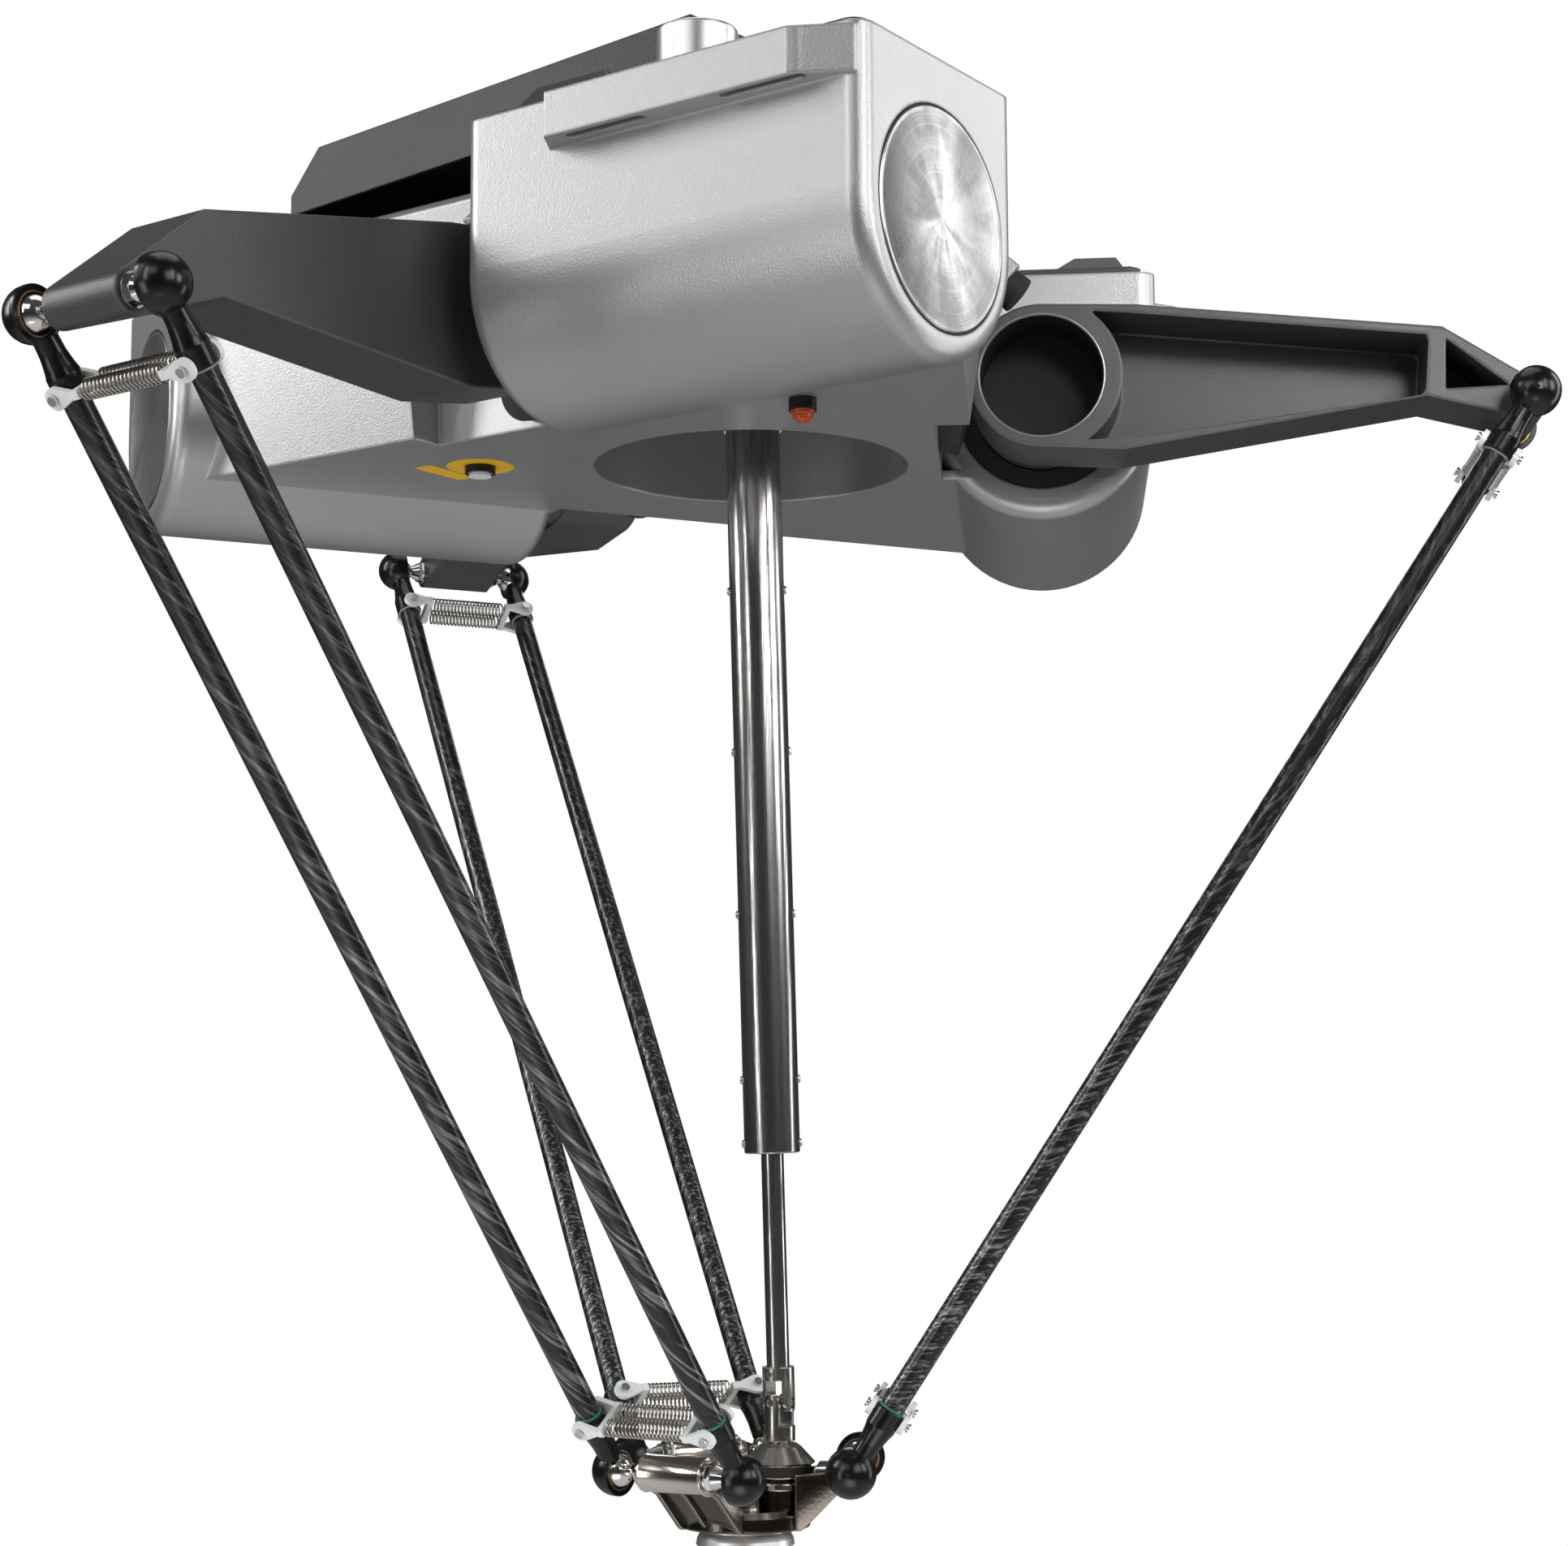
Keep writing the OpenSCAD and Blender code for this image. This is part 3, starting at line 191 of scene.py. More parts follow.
def node_group(name, inputs):
    """An empty shader group that gives a finish, with its input and output nodes."""
    tree = bpy.data.node_groups.new(name, "ShaderNodeTree")
    for socket, kind, value in inputs:
        made = tree.interface.new_socket(socket, in_out="INPUT", socket_type=kind)
        if value is not None:
            made.default_value = value
    for socket, kind, _ in FINISH:
        tree.interface.new_socket(socket, in_out="OUTPUT", socket_type=kind)
    return tree, tree.nodes.new("NodeGroupInput"), tree.nodes.new("NodeGroupOutput")


def give_finish(tree, result, *outputs):
    """Links a group's colour, roughness and normal to its output node."""
    for (socket, _, _), output in zip(FINISH, outputs):
        tree.links.new(output, result.inputs[socket])


def use_group(material, tree, **values):
    """Places a group in a material and links its finish to the shader's inputs."""
    placed = material.node_tree.nodes.new("ShaderNodeGroup")
    placed.node_tree = tree
    for socket, value in values.items():
        placed.inputs[socket].default_value = value
    shader = material.node_tree.nodes["Principled BSDF"]
    for output, _, socket in FINISH:
        material.node_tree.links.new(placed.outputs[output], shader.inputs[socket])
    return placed


def plug(tree, operand, socket):
    """Feeds a socket from another one, or sets it to a plain number."""
    if isinstance(operand, (int, float)):
        socket.default_value = operand
    else:
        tree.links.new(operand, socket)


def math_node(tree, operation, first, second=None, third=None):
    """A Math node whose operands are sockets or plain numbers."""
    made = tree.nodes.new("ShaderNodeMath")
    made.operation = operation
    for index, operand in enumerate((first, second, third)):
        if operand is not None:
            plug(tree, operand, made.inputs[index])
    return made.outputs[0]


def noise_node(tree, spot, scale, detail, rough=0.5):
    """The grey value of a Noise texture whose scale is a socket or a plain number."""
    made = tree.nodes.new("ShaderNodeTexNoise")
    made.inputs["Detail"].default_value = detail
    made.inputs["Roughness"].default_value = rough
    plug(tree, scale, made.inputs["Scale"])
    tree.links.new(spot, made.inputs["Vector"])
    return made.outputs["Fac"]


def bump_node(tree, height, strength, distance, normal=None):
    """A normal bent by the slope of a height."""
    made = tree.nodes.new("ShaderNodeBump")
    made.inputs["Distance"].default_value = distance
    tree.links.new(strength, made.inputs["Strength"])
    tree.links.new(height, made.inputs["Height"])
    if normal is not None:
        tree.links.new(normal, made.inputs["Normal"])
    return made.outputs["Normal"]


def blend_node(tree, factor, first, second):
    """A colour between two others."""
    made = tree.nodes.new("ShaderNodeMix")
    made.data_type = "RGBA"
    tree.links.new(factor, made.inputs["Factor"])
    tree.links.new(first, made.inputs[MIX_FIRST_COLOUR])
    tree.links.new(second, made.inputs[MIX_SECOND_COLOUR])
    return made.outputs[MIX_COLOUR]


def make_coat():
    """Sprayed or cast skin: two sizes of grain, a patchy gloss and softened edges."""
    tree, given, result = node_group("sprayed_skin", [
        ("Grain", FLOAT, 900.0), ("Depth", FLOAT, 0.1), ("Edge", FLOAT, 0.001),
        ("Gloss", FLOAT, 0.4), ("Spread", FLOAT, 0.1), ("Colour", COLOR, None),
        ("Worn", COLOR, None), ("Wear", FLOAT, 0.0)])
    ask = given.outputs
    spot = tree.nodes.new("ShaderNodeTexCoord").outputs["Object"]
    fine = noise_node(tree, spot, scale=ask["Grain"], detail=3)
    broad = noise_node(tree, spot, scale=14, detail=4)
    corner = tree.nodes.new("ShaderNodeBevel")
    corner.samples = 6
    tree.links.new(ask["Edge"], corner.inputs["Radius"])
    rounded = corner.outputs["Normal"]
    normal = bump_node(tree, fine, ask["Depth"], distance=0.0004, normal=rounded)
    patch = math_node(tree, "SUBTRACT", broad, 0.5)
    shift = math_node(tree, "MULTIPLY", patch, ask["Spread"])
    roughness = math_node(tree, "ADD", shift, ask["Gloss"])
    # where the rounded normal turns away from the true one there is an edge; its colour there is
    # wear, and on the platform ribs a painted highlight
    turn = tree.nodes.new("ShaderNodeVectorMath")
    turn.operation = "DOT_PRODUCT"
    true_normal = tree.nodes.new("ShaderNodeNewGeometry").outputs["Normal"]
    tree.links.new(rounded, turn.inputs[0])
    tree.links.new(true_normal, turn.inputs[1])
    bent = math_node(tree, "SUBTRACT", 1.0, turn.outputs["Value"])
    edge_wear_and_glint = math_node(tree, "MULTIPLY", bent, ask["Wear"])
    edge_wear_and_glint = math_node(tree, "MINIMUM", edge_wear_and_glint, 1.0)
    colour = blend_node(tree, edge_wear_and_glint, ask["Colour"], ask["Worn"])
    give_finish(tree, result, colour, roughness, normal)
    return tree


sprayed_skin = make_coat()


def sprayed(name, colour, metallic, gloss, grain, depth, edge, wear_and_glint=0.0, worn_and_glint=None, spread=0.08,
            **sockets):
    """A painted, blasted or moulded finish made with the skin group."""
    material = surface(name, colour, metallic, gloss, **sockets)
    use_group(material, sprayed_skin, Grain=grain, Depth=depth, Edge=edge, Gloss=gloss,
              Spread=spread, Colour=(*colour, 1), Worn=(*(worn_and_glint or colour), 1), Wear=wear_and_glint)
    return material


def dress(material, *names):
    """Gives CAD nodes a finish."""
    for name in names:
        nodes[name].material_slots[0].material = material


silver_paint = sprayed("silver_paint", (0.47, 0.465, 0.475), 0.7, 0.35, 800, 0.4, 0.0025,
                       wear_and_glint=0.4, worn_and_glint=(0.7, 0.7, 0.71))
dress(silver_paint, "base_casting")

# ---- End caps -----------------------------------------------------------------------------
# A turned aluminium disc closes the far end of each housing. It keeps the fine rings of the
# lathe, so light fans out from its centre, and those fans are also painted into its colour as
# dark and light sectors, a painted reflection. A black rubber ring seals it into the bore.

ARMS = {"a": math.radians(210), "b": math.radians(330), "c": math.radians(90)}
motor_height = joints["arm_a_swing"]["pos_m"][2]
housing_reach = math.hypot(*joints["arm_a_swing"]["pos_m"][:2])
cap_radius = 0.0621
cap_proud = 0.0006
cap_thick = 0.008
housing_end = 0.32


def motor_frame(arm):
    """Matrix whose Z runs along the motor's axis to the housing's far end, X outwards."""
    facing = Matrix.Rotation(ARMS[arm], 4, "Z")
    centre = Matrix.Translation((housing_reach, 0, motor_height))
    return facing @ centre @ Matrix.Rotation(-math.pi / 2, 4, "X")


def lathe(profile, steps=96, closed=False):
    """A shape turned round Z from (radius, height) points, open or back to the first one."""
    if closed:
        profile = profile + profile[:1]
    shape = bmesh.new()
    points = [shape.verts.new((radius, 0, height)) for radius, height in profile]
    edges = [shape.edges.new(pair) for pair in zip(points, points[1:])]
    bmesh.ops.spin(shape, geom=points + edges, cent=(0, 0, 0), axis=(0, 0, 1),
                   angle=math.tau, steps=steps, use_merge=True)
    bmesh.ops.remove_doubles(shape, verts=shape.verts, dist=1e-6)
    bmesh.ops.recalc_face_normals(shape, faces=shape.faces)
    return shape


def finish_piece(name, shape, material, body, place=None, sharp=32):
    """Makes a piece of a bmesh, in its place, smooth up to an angle, riding on a body."""
    if place is not None:
        bmesh.ops.transform(shape, matrix=place, verts=shape.verts)
    mesh = bpy.data.meshes.new(name)
    shape.to_mesh(mesh)
    shape.free()
    mesh.shade_smooth()
    mesh.set_sharp_from_angle(angle=math.radians(sharp))
    mesh.materials.append(material)
    piece = bpy.data.objects.new(name, mesh)
    scene.collection.objects.link(piece)
    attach(piece, body)
    return piece


def map_to(material, placed, place):
    """Feeds a placed group with Object coordinates as seen from a frame in space."""
    tree = material.node_tree
    mapping = tree.nodes.new("ShaderNodeMapping")
    mapping.vector_type = "TEXTURE"
    mapping.inputs["Location"].default_value = place.to_translation()
    mapping.inputs["Rotation"].default_value = place.to_euler()
    spot = tree.nodes.new("ShaderNodeTexCoord")
    tree.links.new(spot.outputs["Object"], mapping.inputs["Vector"])
    tree.links.new(mapping.outputs["Vector"], placed.inputs["Vector"])


def split_node(tree, vector):
    """The X, Y and Z of a vector."""
    made = tree.nodes.new("ShaderNodeSeparateXYZ")
    tree.links.new(vector, made.inputs[0])
    return made.outputs


def join_node(tree, **parts):
    """A vector of the given X, Y and Z, with 0 for those left out."""
    made = tree.nodes.new("ShaderNodeCombineXYZ")
    for axis_name, value in parts.items():
        tree.links.new(value, made.inputs[axis_name])
    return made.outputs[0]


def contrast_node(tree, value, low, high):
    """A value stretched so that low becomes 0 and high becomes 1."""
    made = tree.nodes.new("ShaderNodeMapRange")
    made.inputs["From Min"].default_value = low
    made.inputs["From Max"].default_value = high
    tree.links.new(value, made.inputs["Value"])
    return made.outputs["Result"]


def make_lathe_rings_and_painted_fans():
    """Fine rings round Z, and painted reflection: dark and light sectors standing in for the fans
    of light on a turned face.
    """
    tree, given, result = node_group("lathe_rings_and_painted_fans", [
        ("Vector", VECTOR, None), ("Rings", FLOAT, 2500.0), ("Depth", FLOAT, 0.15),
        ("Gloss", FLOAT, 0.3), ("Smoke", FLOAT, 0.3), ("Sectors", FLOAT, 2.0),
        ("Light", COLOR, None), ("Dark", COLOR, None)])
    ask = given.outputs
    across, aside, along = split_node(tree, ask["Vector"])
    square = math_node(tree, "ADD", math_node(tree, "MULTIPLY", across, across),
                       math_node(tree, "MULTIPLY", aside, aside))
    radius = math_node(tree, "SQRT", square)
    rings = noise_node(tree, join_node(tree, X=radius, Z=along), scale=ask["Rings"], detail=2)
    normal = bump_node(tree, rings, ask["Depth"], distance=0.0002)
    # the direction from the centre, with a little of the radius, so that sectors drift
    safe = math_node(tree, "ADD", radius, 0.0005)
    sector_spot = join_node(tree, X=math_node(tree, "DIVIDE", across, safe),
                            Y=math_node(tree, "DIVIDE", aside, safe),
                            Z=math_node(tree, "MULTIPLY", radius, 12))
    sectors = noise_node(tree, sector_spot, scale=ask["Sectors"], detail=5, rough=0.6)
    mark = math_node(tree, "ADD", math_node(tree, "MULTIPLY", sectors, 0.8),
                     math_node(tree, "MULTIPLY", rings, 0.2))
    # painted reflection: the sectors darken the colour in fans, standing in for light on a turned
    # face
    painted_fans = math_node(tree, "MULTIPLY", contrast_node(tree, mark, low=0.38, high=0.62),
                      ask["Smoke"])
    colour = blend_node(tree, painted_fans, ask["Light"], ask["Dark"])
    shift = math_node(tree, "MULTIPLY", painted_fans, 0.2)
    roughness = math_node(tree, "ADD", shift, ask["Gloss"])
    give_finish(tree, result, colour, roughness, normal)
    return tree


lathe_rings_and_painted_fans = make_lathe_rings_and_painted_fans()


def turned(name, colour, dark, gloss, place, rings, depth, painted_fans, sectors=2.0):
    """Metal from a lathe whose axis is the Z of a frame in space, with painted reflection fans.
    """
    material = surface(name, colour, 1.0, gloss)
    placed = use_group(material, lathe_rings_and_painted_fans, Rings=rings, Depth=depth, Gloss=gloss,
                       Smoke=painted_fans, Sectors=sectors, Light=(*colour, 1), Dark=(*dark, 1))
    map_to(material, placed, place)
    return material


def tool_steel(name, colour, roughness, grain, depth, edge):
    """Ground or machined metal without a lathe's rings."""
    return sprayed(name, colour, 1.0, roughness, grain, depth, edge, wear_and_glint=0.3,
                   worn_and_glint=tuple(min(1, c * 1.4) for c in colour), spread=0.12)


rubber_black = sprayed("rubber_black", (0.012, 0.012, 0.012), 0.0, 0.62, 1600, 0.3, 0.0012)
cap_face = housing_end + cap_proud
cap_edge = cap_radius - 0.001
seal_inside = cap_radius - 0.0011
seal_outside = cap_radius + 0.0004
for arm in ARMS:
    axis = motor_frame(arm)
    # the caps get the strongest painted reflection fans
    cap_metal = turned("cap_metal_" + arm, (0.66, 0.66, 0.67), (0.16, 0.16, 0.17), 0.26, axis,
                       rings=1800, depth=0.35, painted_fans=0.75, sectors=1.6)
    disc = lathe([(0, cap_face - 0.0004), (cap_radius - 0.005, cap_face - 0.0004),
                  (cap_radius - 0.0045, cap_face - 0.0001), (cap_radius - 0.0018, cap_face),
                  (cap_edge, cap_face - 0.0006), (cap_edge, cap_face - cap_thick),
                  (0, cap_face - cap_thick)])
    cap = finish_piece("end_cap_" + arm, disc, cap_metal, "base", axis)
    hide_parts("end_caps")
    band = lathe([(seal_inside, cap_face - 0.0016), (seal_outside, cap_face - 0.0016),
                  (seal_outside, cap_face - 0.004), (seal_inside, cap_face - 0.004)],
                 closed=True)
    finish_piece("cap_seal_" + arm, band, rubber_black, "base", axis)

# ---- Lids and their seals -----------------------------------------------------------------
# Pressed covers in satin dark grey, each on a pale foam seal that shows as a thin line, held
# by stainless button-head screws.

lid_grey = sprayed("lid_grey", (0.055, 0.057, 0.06), 0.25, 0.42, 1500, 0.2, 0.0018,
                   wear_and_glint=1.5, worn_and_glint=(0.16, 0.16, 0.17))
dress(lid_grey, "housing_lids", "centre_lid")
seal_white = sprayed("seal_white", (0.8, 0.8, 0.78), 0.0, 0.7, 900, 0.2, 0.0004)
dress(seal_white, "lid_gaskets")
screw_steel = tool_steel("screw_steel", (0.66, 0.66, 0.67), 0.24, 2500, 0.05, 0.0003)
dress(screw_steel, "lid_screws")

# ---- Motors and gearboxes -----------------------------------------------------------------
# Servo motors with reduction gearboxes, whose output flanges carry the arms. They sit inside
# the housings, and only a dark annulus round each arm's hub shows them.

motor_black = sprayed("motor_black", (0.02, 0.02, 0.021), 0.2, 0.45, 1200, 0.2, 0.0005)
dress(motor_black, "arm_motors", "theta_motor")
gearbox_grey = sprayed("gearbox_grey", (0.012, 0.012, 0.013), 0.0, 0.5, 1500, 0.1, 0.0005)
dress(gearbox_grey, "arm_gearboxes")
dress(rubber_black, "shaft_seals", "arm_bumpers")

# ---- Amplifier cover ----------------------------------------------------------------------
# A folded steel box on top of the base. Its coarse black powder coat has a grain like leather
# and is a little paler along the folds.

powder_black = sprayed("powder_black", (0.012, 0.012, 0.013), 0.0, 0.5, 420, 0.9, 0.0012,
                       wear_and_glint=1.0, worn_and_glint=(0.05, 0.05, 0.05))
dress(powder_black, "amplifier_cover")

# ---- Earth post, beacon and brake button --------------------------------------------------
# Small fittings: a bare turned post for the earth wire, an amber lamp with a ribbed lens under
# the tub, and the white button that frees the brakes. A blank yellow label rings the button,
# and a blank strip is stuck beside it.

post_metal = tool_steel("post_metal", (0.72, 0.72, 0.73), 0.34, 1500, 0.1, 0.0015)
dress(post_metal, "earth_post")
gloss_black = sprayed("gloss_black", (0.005, 0.005, 0.0055), 0.0, 0.24, 900, 0.04, 0.0012,
                      Specular_IOR_Level=0.4)
dress(gloss_black, "beacon_base", "brake_collar")
amber = surface("amber", (0.9, 0.1, 0.005), 0.0, 0.1, Transmission_Weight=0.35)
lens_radius = 0.0073
lens_base = 0.0075
lens_steps = 12
lens_groove = 0.955
beacon_place = Matrix.Translation((-0.02, -0.189, -0.136)) @ Matrix.Rotation(math.pi, 4, "X")
dome = [(0, lens_base - 0.001), (lens_radius, lens_base - 0.001), (lens_radius, lens_base)]
for step in range(1, lens_steps + 1):
    rise = math.radians(90 / lens_steps * step)
    swell = lens_radius * (lens_groove if step % 2 else 1.0)
    dome.append((swell * math.cos(rise) if step < lens_steps else 0,
                 lens_base + swell * math.sin(rise)))
lens = finish_piece("ribbed_lens", lathe(dome, 48), amber, "base", beacon_place,
                    sharp=12)
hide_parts("beacon_lens")
nylon = sprayed("nylon", (0.96, 0.96, 0.95), 0.0, 0.4, 1500, 0.06, 0.0008,
                Subsurface_Weight=0.1)
dress(nylon, "brake_button")

label_yellow = sprayed("label_yellow", (1.0, 0.56, 0.004), 0.0, 0.4, 1800, 0.05, 0.0003)
label_skin = 0.0002
label_inside = 0.0103
label_outside = 0.022
strip_size = (0.043, 0.014, label_skin)
strip_spot = (-0.016, 0.0256, -label_skin / 2)
strip_turn = Matrix.Rotation(math.radians(29.5), 4, "Z")
brake_place = Matrix.Translation((-0.139, 0.054, -0.136))
ring = lathe([(label_inside, -label_skin), (label_outside, -label_skin), (label_outside, 0.0),
              (label_inside, 0.0)], 64, closed=True)
finish_piece("brake_label", ring, label_yellow, "base", brake_place)
strip = bmesh.new()
bmesh.ops.create_cube(strip, size=1)
bmesh.ops.scale(strip, vec=strip_size, verts=strip.verts)
finish_piece("side_label", strip, label_yellow, "base",
             brake_place @ Matrix.Translation(strip_spot) @ strip_turn)

# ---- Arms ---------------------------------------------------------------------------------
# Aluminium castings with a dark hard-anodised skin, open on one side. Each hub's bore holds a
# matt black cup, a painted shade of the deep hollow, and the hub's machined rim shows as a
# thin bright ring.

arm_skin = sprayed("arm_skin", (0.1, 0.098, 0.097), 0.55, 0.4, 1100, 0.4, 0.003,
                   wear_and_glint=1.6, worn_and_glint=(0.3, 0.3, 0.3))
dress(arm_skin, "arm_a", "arm_b", "arm_c")
hub_bore = 0.0397
lining_radius = hub_bore - 0.0002
hub_floor = 0.022
lining_floor = hub_floor - 0.0004
arm_face = -0.0275
lining_end = arm_face + 0.0015
# painted shade: a matt black cup darkens each bore as shade would
bore_shade_black = sprayed("bore_shade_black", (0.006, 0.006, 0.006), 0.0, 0.6, 1200, 0.2, 0.0005)
rim_metal = sprayed("rim_metal", (0.42, 0.42, 0.42), 0.8, 0.3, 1800, 0.1, 0.0004)
for arm in ARMS:
    axis = motor_frame(arm)
    lining = lathe([(0, lining_floor), (lining_radius, lining_floor),
                    (lining_radius, lining_end)])
    finish_piece("bore_lining_" + arm, lining, bore_shade_black, "arm_" + arm, axis)
    rim = lathe([(lining_radius, lining_end), (hub_bore - 0.0001, arm_face + 0.0006),
                 (hub_bore + 0.0006, arm_face - 0.0001), (hub_bore + 0.0012, arm_face)])
    finish_piece("bore_rim_" + arm, rim, rim_metal, "arm_" + arm, axis)

# ---- Ball studs ---------------------------------------------------------------------------
# Polished stainless balls, each on a cone and a hexagon. The upper ones are screwed into the
# tips of the arms, and the lower ones sit in the barrels of the platform.

polished = tool_steel("polished", (0.72, 0.71, 0.7), 0.09, 600, 0.02, 0.0004)
for arm in ARMS:
    dress(polished, "upper_studs_" + arm, "lower_studs_" + arm)

# ---- Rods ---------------------------------------------------------------------------------
# Wound carbon-fibre tubes under clear resin, in pairs. The tows run round each tube as a
# steep helix, and each one catches the light at its own angle; these glints are also painted
# into the colour as a painted highlight, stronger towards the platform.

rod_length = 0.8


def rod_pair(arm):
    """Matrix of a pair of rods: origin half way between the upper balls, Z up along the rods,
    Y from one rod to the other; and half the distance between the rods."""
    spots = [vertex.co for vertex in nodes["rod_tubes_" + arm].data.vertices]
    middle = sum(spots, Vector()) / len(spots)
    level = Vector((-math.sin(ARMS[arm]), math.cos(ARMS[arm]), 0))
    ends = {}
    for spot in spots:
        key = ((spot - middle).dot(level) > 0, spot.z > middle.z)
        ends.setdefault(key, []).append(spot)
    centre = {key: sum(found, Vector()) / len(found) for key, found in ends.items()}
    half_gap = (centre[True, True] - centre[False, True]).dot(level) / 2
    up = (centre[True, True] - centre[True, False]).normalized()
    halfway = (centre[True, True] + centre[False, False]) / 2
    turn = Matrix((level.cross(up), level, up)).transposed().to_4x4()
    return Matrix.Translation(halfway + up * rod_length / 2) @ turn, half_gap


def make_wound_tows():
    """Twisted bands of fibre on two parallel tubes, in the frame of their pair, with the tows'
    glints painted into the colour.
    """
    tree, given, result = node_group("wound_tows", [
        ("Vector", VECTOR, None), ("Half Gap", FLOAT, 0.048), ("Twist", FLOAT, 60.0),
        ("Depth", FLOAT, 0.5), ("Shade", COLOR, None), ("Glint", COLOR, None)])
    ask = given.outputs
    across, aside, along = split_node(tree, ask["Vector"])
    side = math_node(tree, "SIGN", aside)
    own = math_node(tree, "SUBTRACT", aside,
                    math_node(tree, "MULTIPLY", side, ask["Half Gap"]))
    untwist = tree.nodes.new("ShaderNodeVectorRotate")
    untwist.rotation_type = "Z_AXIS"
    tree.links.new(join_node(tree, X=across, Y=own), untwist.inputs["Vector"])
    tree.links.new(math_node(tree, "MULTIPLY", along, ask["Twist"]), untwist.inputs["Angle"])
    # the bands change slowly along a tube and differ between the two
    drift = join_node(tree, Z=math_node(tree, "MULTIPLY", along, 0.05),
                      X=math_node(tree, "MULTIPLY", side, 0.5))
    spot = tree.nodes.new("ShaderNodeVectorMath")
    spot.operation = "ADD"
    tree.links.new(untwist.outputs[0], spot.inputs[0])
    tree.links.new(drift, spot.inputs[1])
    tows = noise_node(tree, spot.outputs[0], scale=330, detail=2)
    fibres = noise_node(tree, spot.outputs[0], scale=1900, detail=2)
    height = math_node(tree, "ADD", tows, math_node(tree, "MULTIPLY", fibres, 0.18))
    normal = bump_node(tree, height, ask["Depth"], distance=0.0012)
    # painted highlight: the glints of the tows are put into the colour
    tow_glints = math_node(tree, "MULTIPLY", contrast_node(tree, tows, low=0.5, high=0.68),
                        math_node(tree, "ADD", fibres, 0.3))
    # the painted glints fade towards the arms and grow towards the platform
    glint_fade = math_node(tree, "MULTIPLY_ADD", along, -1.3, 0.18)
    tow_glints = math_node(tree, "MULTIPLY", tow_glints, glint_fade)
    colour = blend_node(tree, tow_glints, ask["Shade"], ask["Glint"])
    roughness = math_node(tree, "MULTIPLY_ADD", tows, -0.3, 0.42)
    give_finish(tree, result, colour, roughness, normal)
    return tree


wound_tows = make_wound_tows()
for arm in ARMS:
    pair_place, half_gap = rod_pair(arm)
    carbon = surface("carbon_" + arm, (0.02, 0.02, 0.021), 0.5, 0.3, Coat_Weight=0.35,
                     Coat_Roughness=0.12)
    tows_on_pair = use_group(carbon, wound_tows, Shade=(0.016, 0.016, 0.0165, 1),
                             Glint=(0.34, 0.33, 0.32, 1))
    tows_on_pair.inputs["Half Gap"].default_value = half_gap
    map_to(carbon, tows_on_pair, pair_place)
    dress(carbon, "rod_tubes_" + arm)

# ---- Rod ends -----------------------------------------------------------------------------
# Gloss black moulded sockets with a bronze-filled liner, glued onto the rods. A line of
# adhesive stands at each collar, green at the platform and pale at the arms.

collar_reach = 0.047
rod_radius = 0.0078
bronze = tool_steel("bronze", (0.36, 0.22, 0.1), 0.4, 1500, 0.1, 0.0003)
glue_green = sprayed("glue_green", (0.02, 0.2, 0.15), 0.0, 0.35, 1500, 0.3, 0.0003)
glue_pale = sprayed("glue_pale", (0.3, 0.3, 0.29), 0.0, 0.35, 1500, 0.3, 0.0003)


bead_seat = rod_radius - 0.0002
bead_profile = [(bead_seat, collar_reach - 0.0006), (rod_radius + 0.0011, collar_reach - 0.0003),
                (rod_radius + 0.0009, collar_reach + 0.0006), (bead_seat, collar_reach + 0.0012)]


def rod_end_places(arm, at_platform):
    """Matrices of the two upper or lower rod ends of a pair: Z from the ball along its rod."""
    pair_place, half_gap = rod_pair(arm)
    for side in (-1, 1):
        upper = pair_place @ Matrix.Translation((0, side * half_gap, 0))
        if at_platform:
            yield upper @ Matrix.Translation((0, 0, -rod_length))
        else:
            yield upper @ Matrix.Rotation(math.pi, 4, "Y")


def add_shape(whole, part, place):
    """Adds one bmesh to another, in its place, and frees it."""
    bmesh.ops.transform(part, matrix=place, verts=part.verts)
    kept = bpy.data.meshes.new("part")
    part.to_mesh(kept)
    part.free()
    whole.from_mesh(kept)
    bpy.data.meshes.remove(kept)


for arm in ARMS:
    dress(gloss_black, "rod_sockets_" + arm)
    dress(bronze, "socket_liners_" + arm)
    for low, glue, name in ((True, glue_green, "lower_glue_"), (False, glue_pale, "upper_glue_")):
        beads = bmesh.new()
        for end_place in rod_end_places(arm, low):
            add_shape(beads, lathe(bead_profile, 32, closed=True), end_place)
        finish_piece(name + arm, beads, glue, "rods_" + arm)

# ---- Springs and their clips --------------------------------------------------------------
# Close-wound springs in pairs, one on each side of the rods, pull the sockets onto the balls.
# They hook onto bridges of white nylon clips that turn on steel pins in the collars.

pin_reach = 0.043
spring_radius = 0.006
wire = 0.0015
wire_sides = 6
steps_per_turn = 18
spring_aside = 0.0069
spring_half = 0.0301
turns = 20
spring_wire = tool_steel("spring_wire", (0.5, 0.47, 0.43), 0.12, 2000, 0.05, 0.0002)


def coil(radius, length, count):
    """A helix of round wire along Z, centred, with flat closed ends."""
    shape = bmesh.new()
    bmesh.ops.create_circle(shape, segments=wire_sides, radius=wire / 2)
    bmesh.ops.rotate(shape, verts=shape.verts, matrix=Matrix.Rotation(math.pi / 2, 3, "X"))
    bmesh.ops.translate(shape, verts=shape.verts,
                        vec=(radius - wire / 2, 0, -length / 2 + wire / 2))
    steps = steps_per_turn * count
    bmesh.ops.spin(shape, geom=shape.verts[:] + shape.edges[:], cent=(0, 0, 0),
                   axis=(0, 0, 1), dvec=(0, 0, (length - wire) / steps),
                   angle=math.tau * count, steps=steps)
    bmesh.ops.holes_fill(shape, edges=[e for e in shape.edges if e.is_boundary], sides=8)
    bmesh.ops.recalc_face_normals(shape, faces=shape.faces)
    return shape


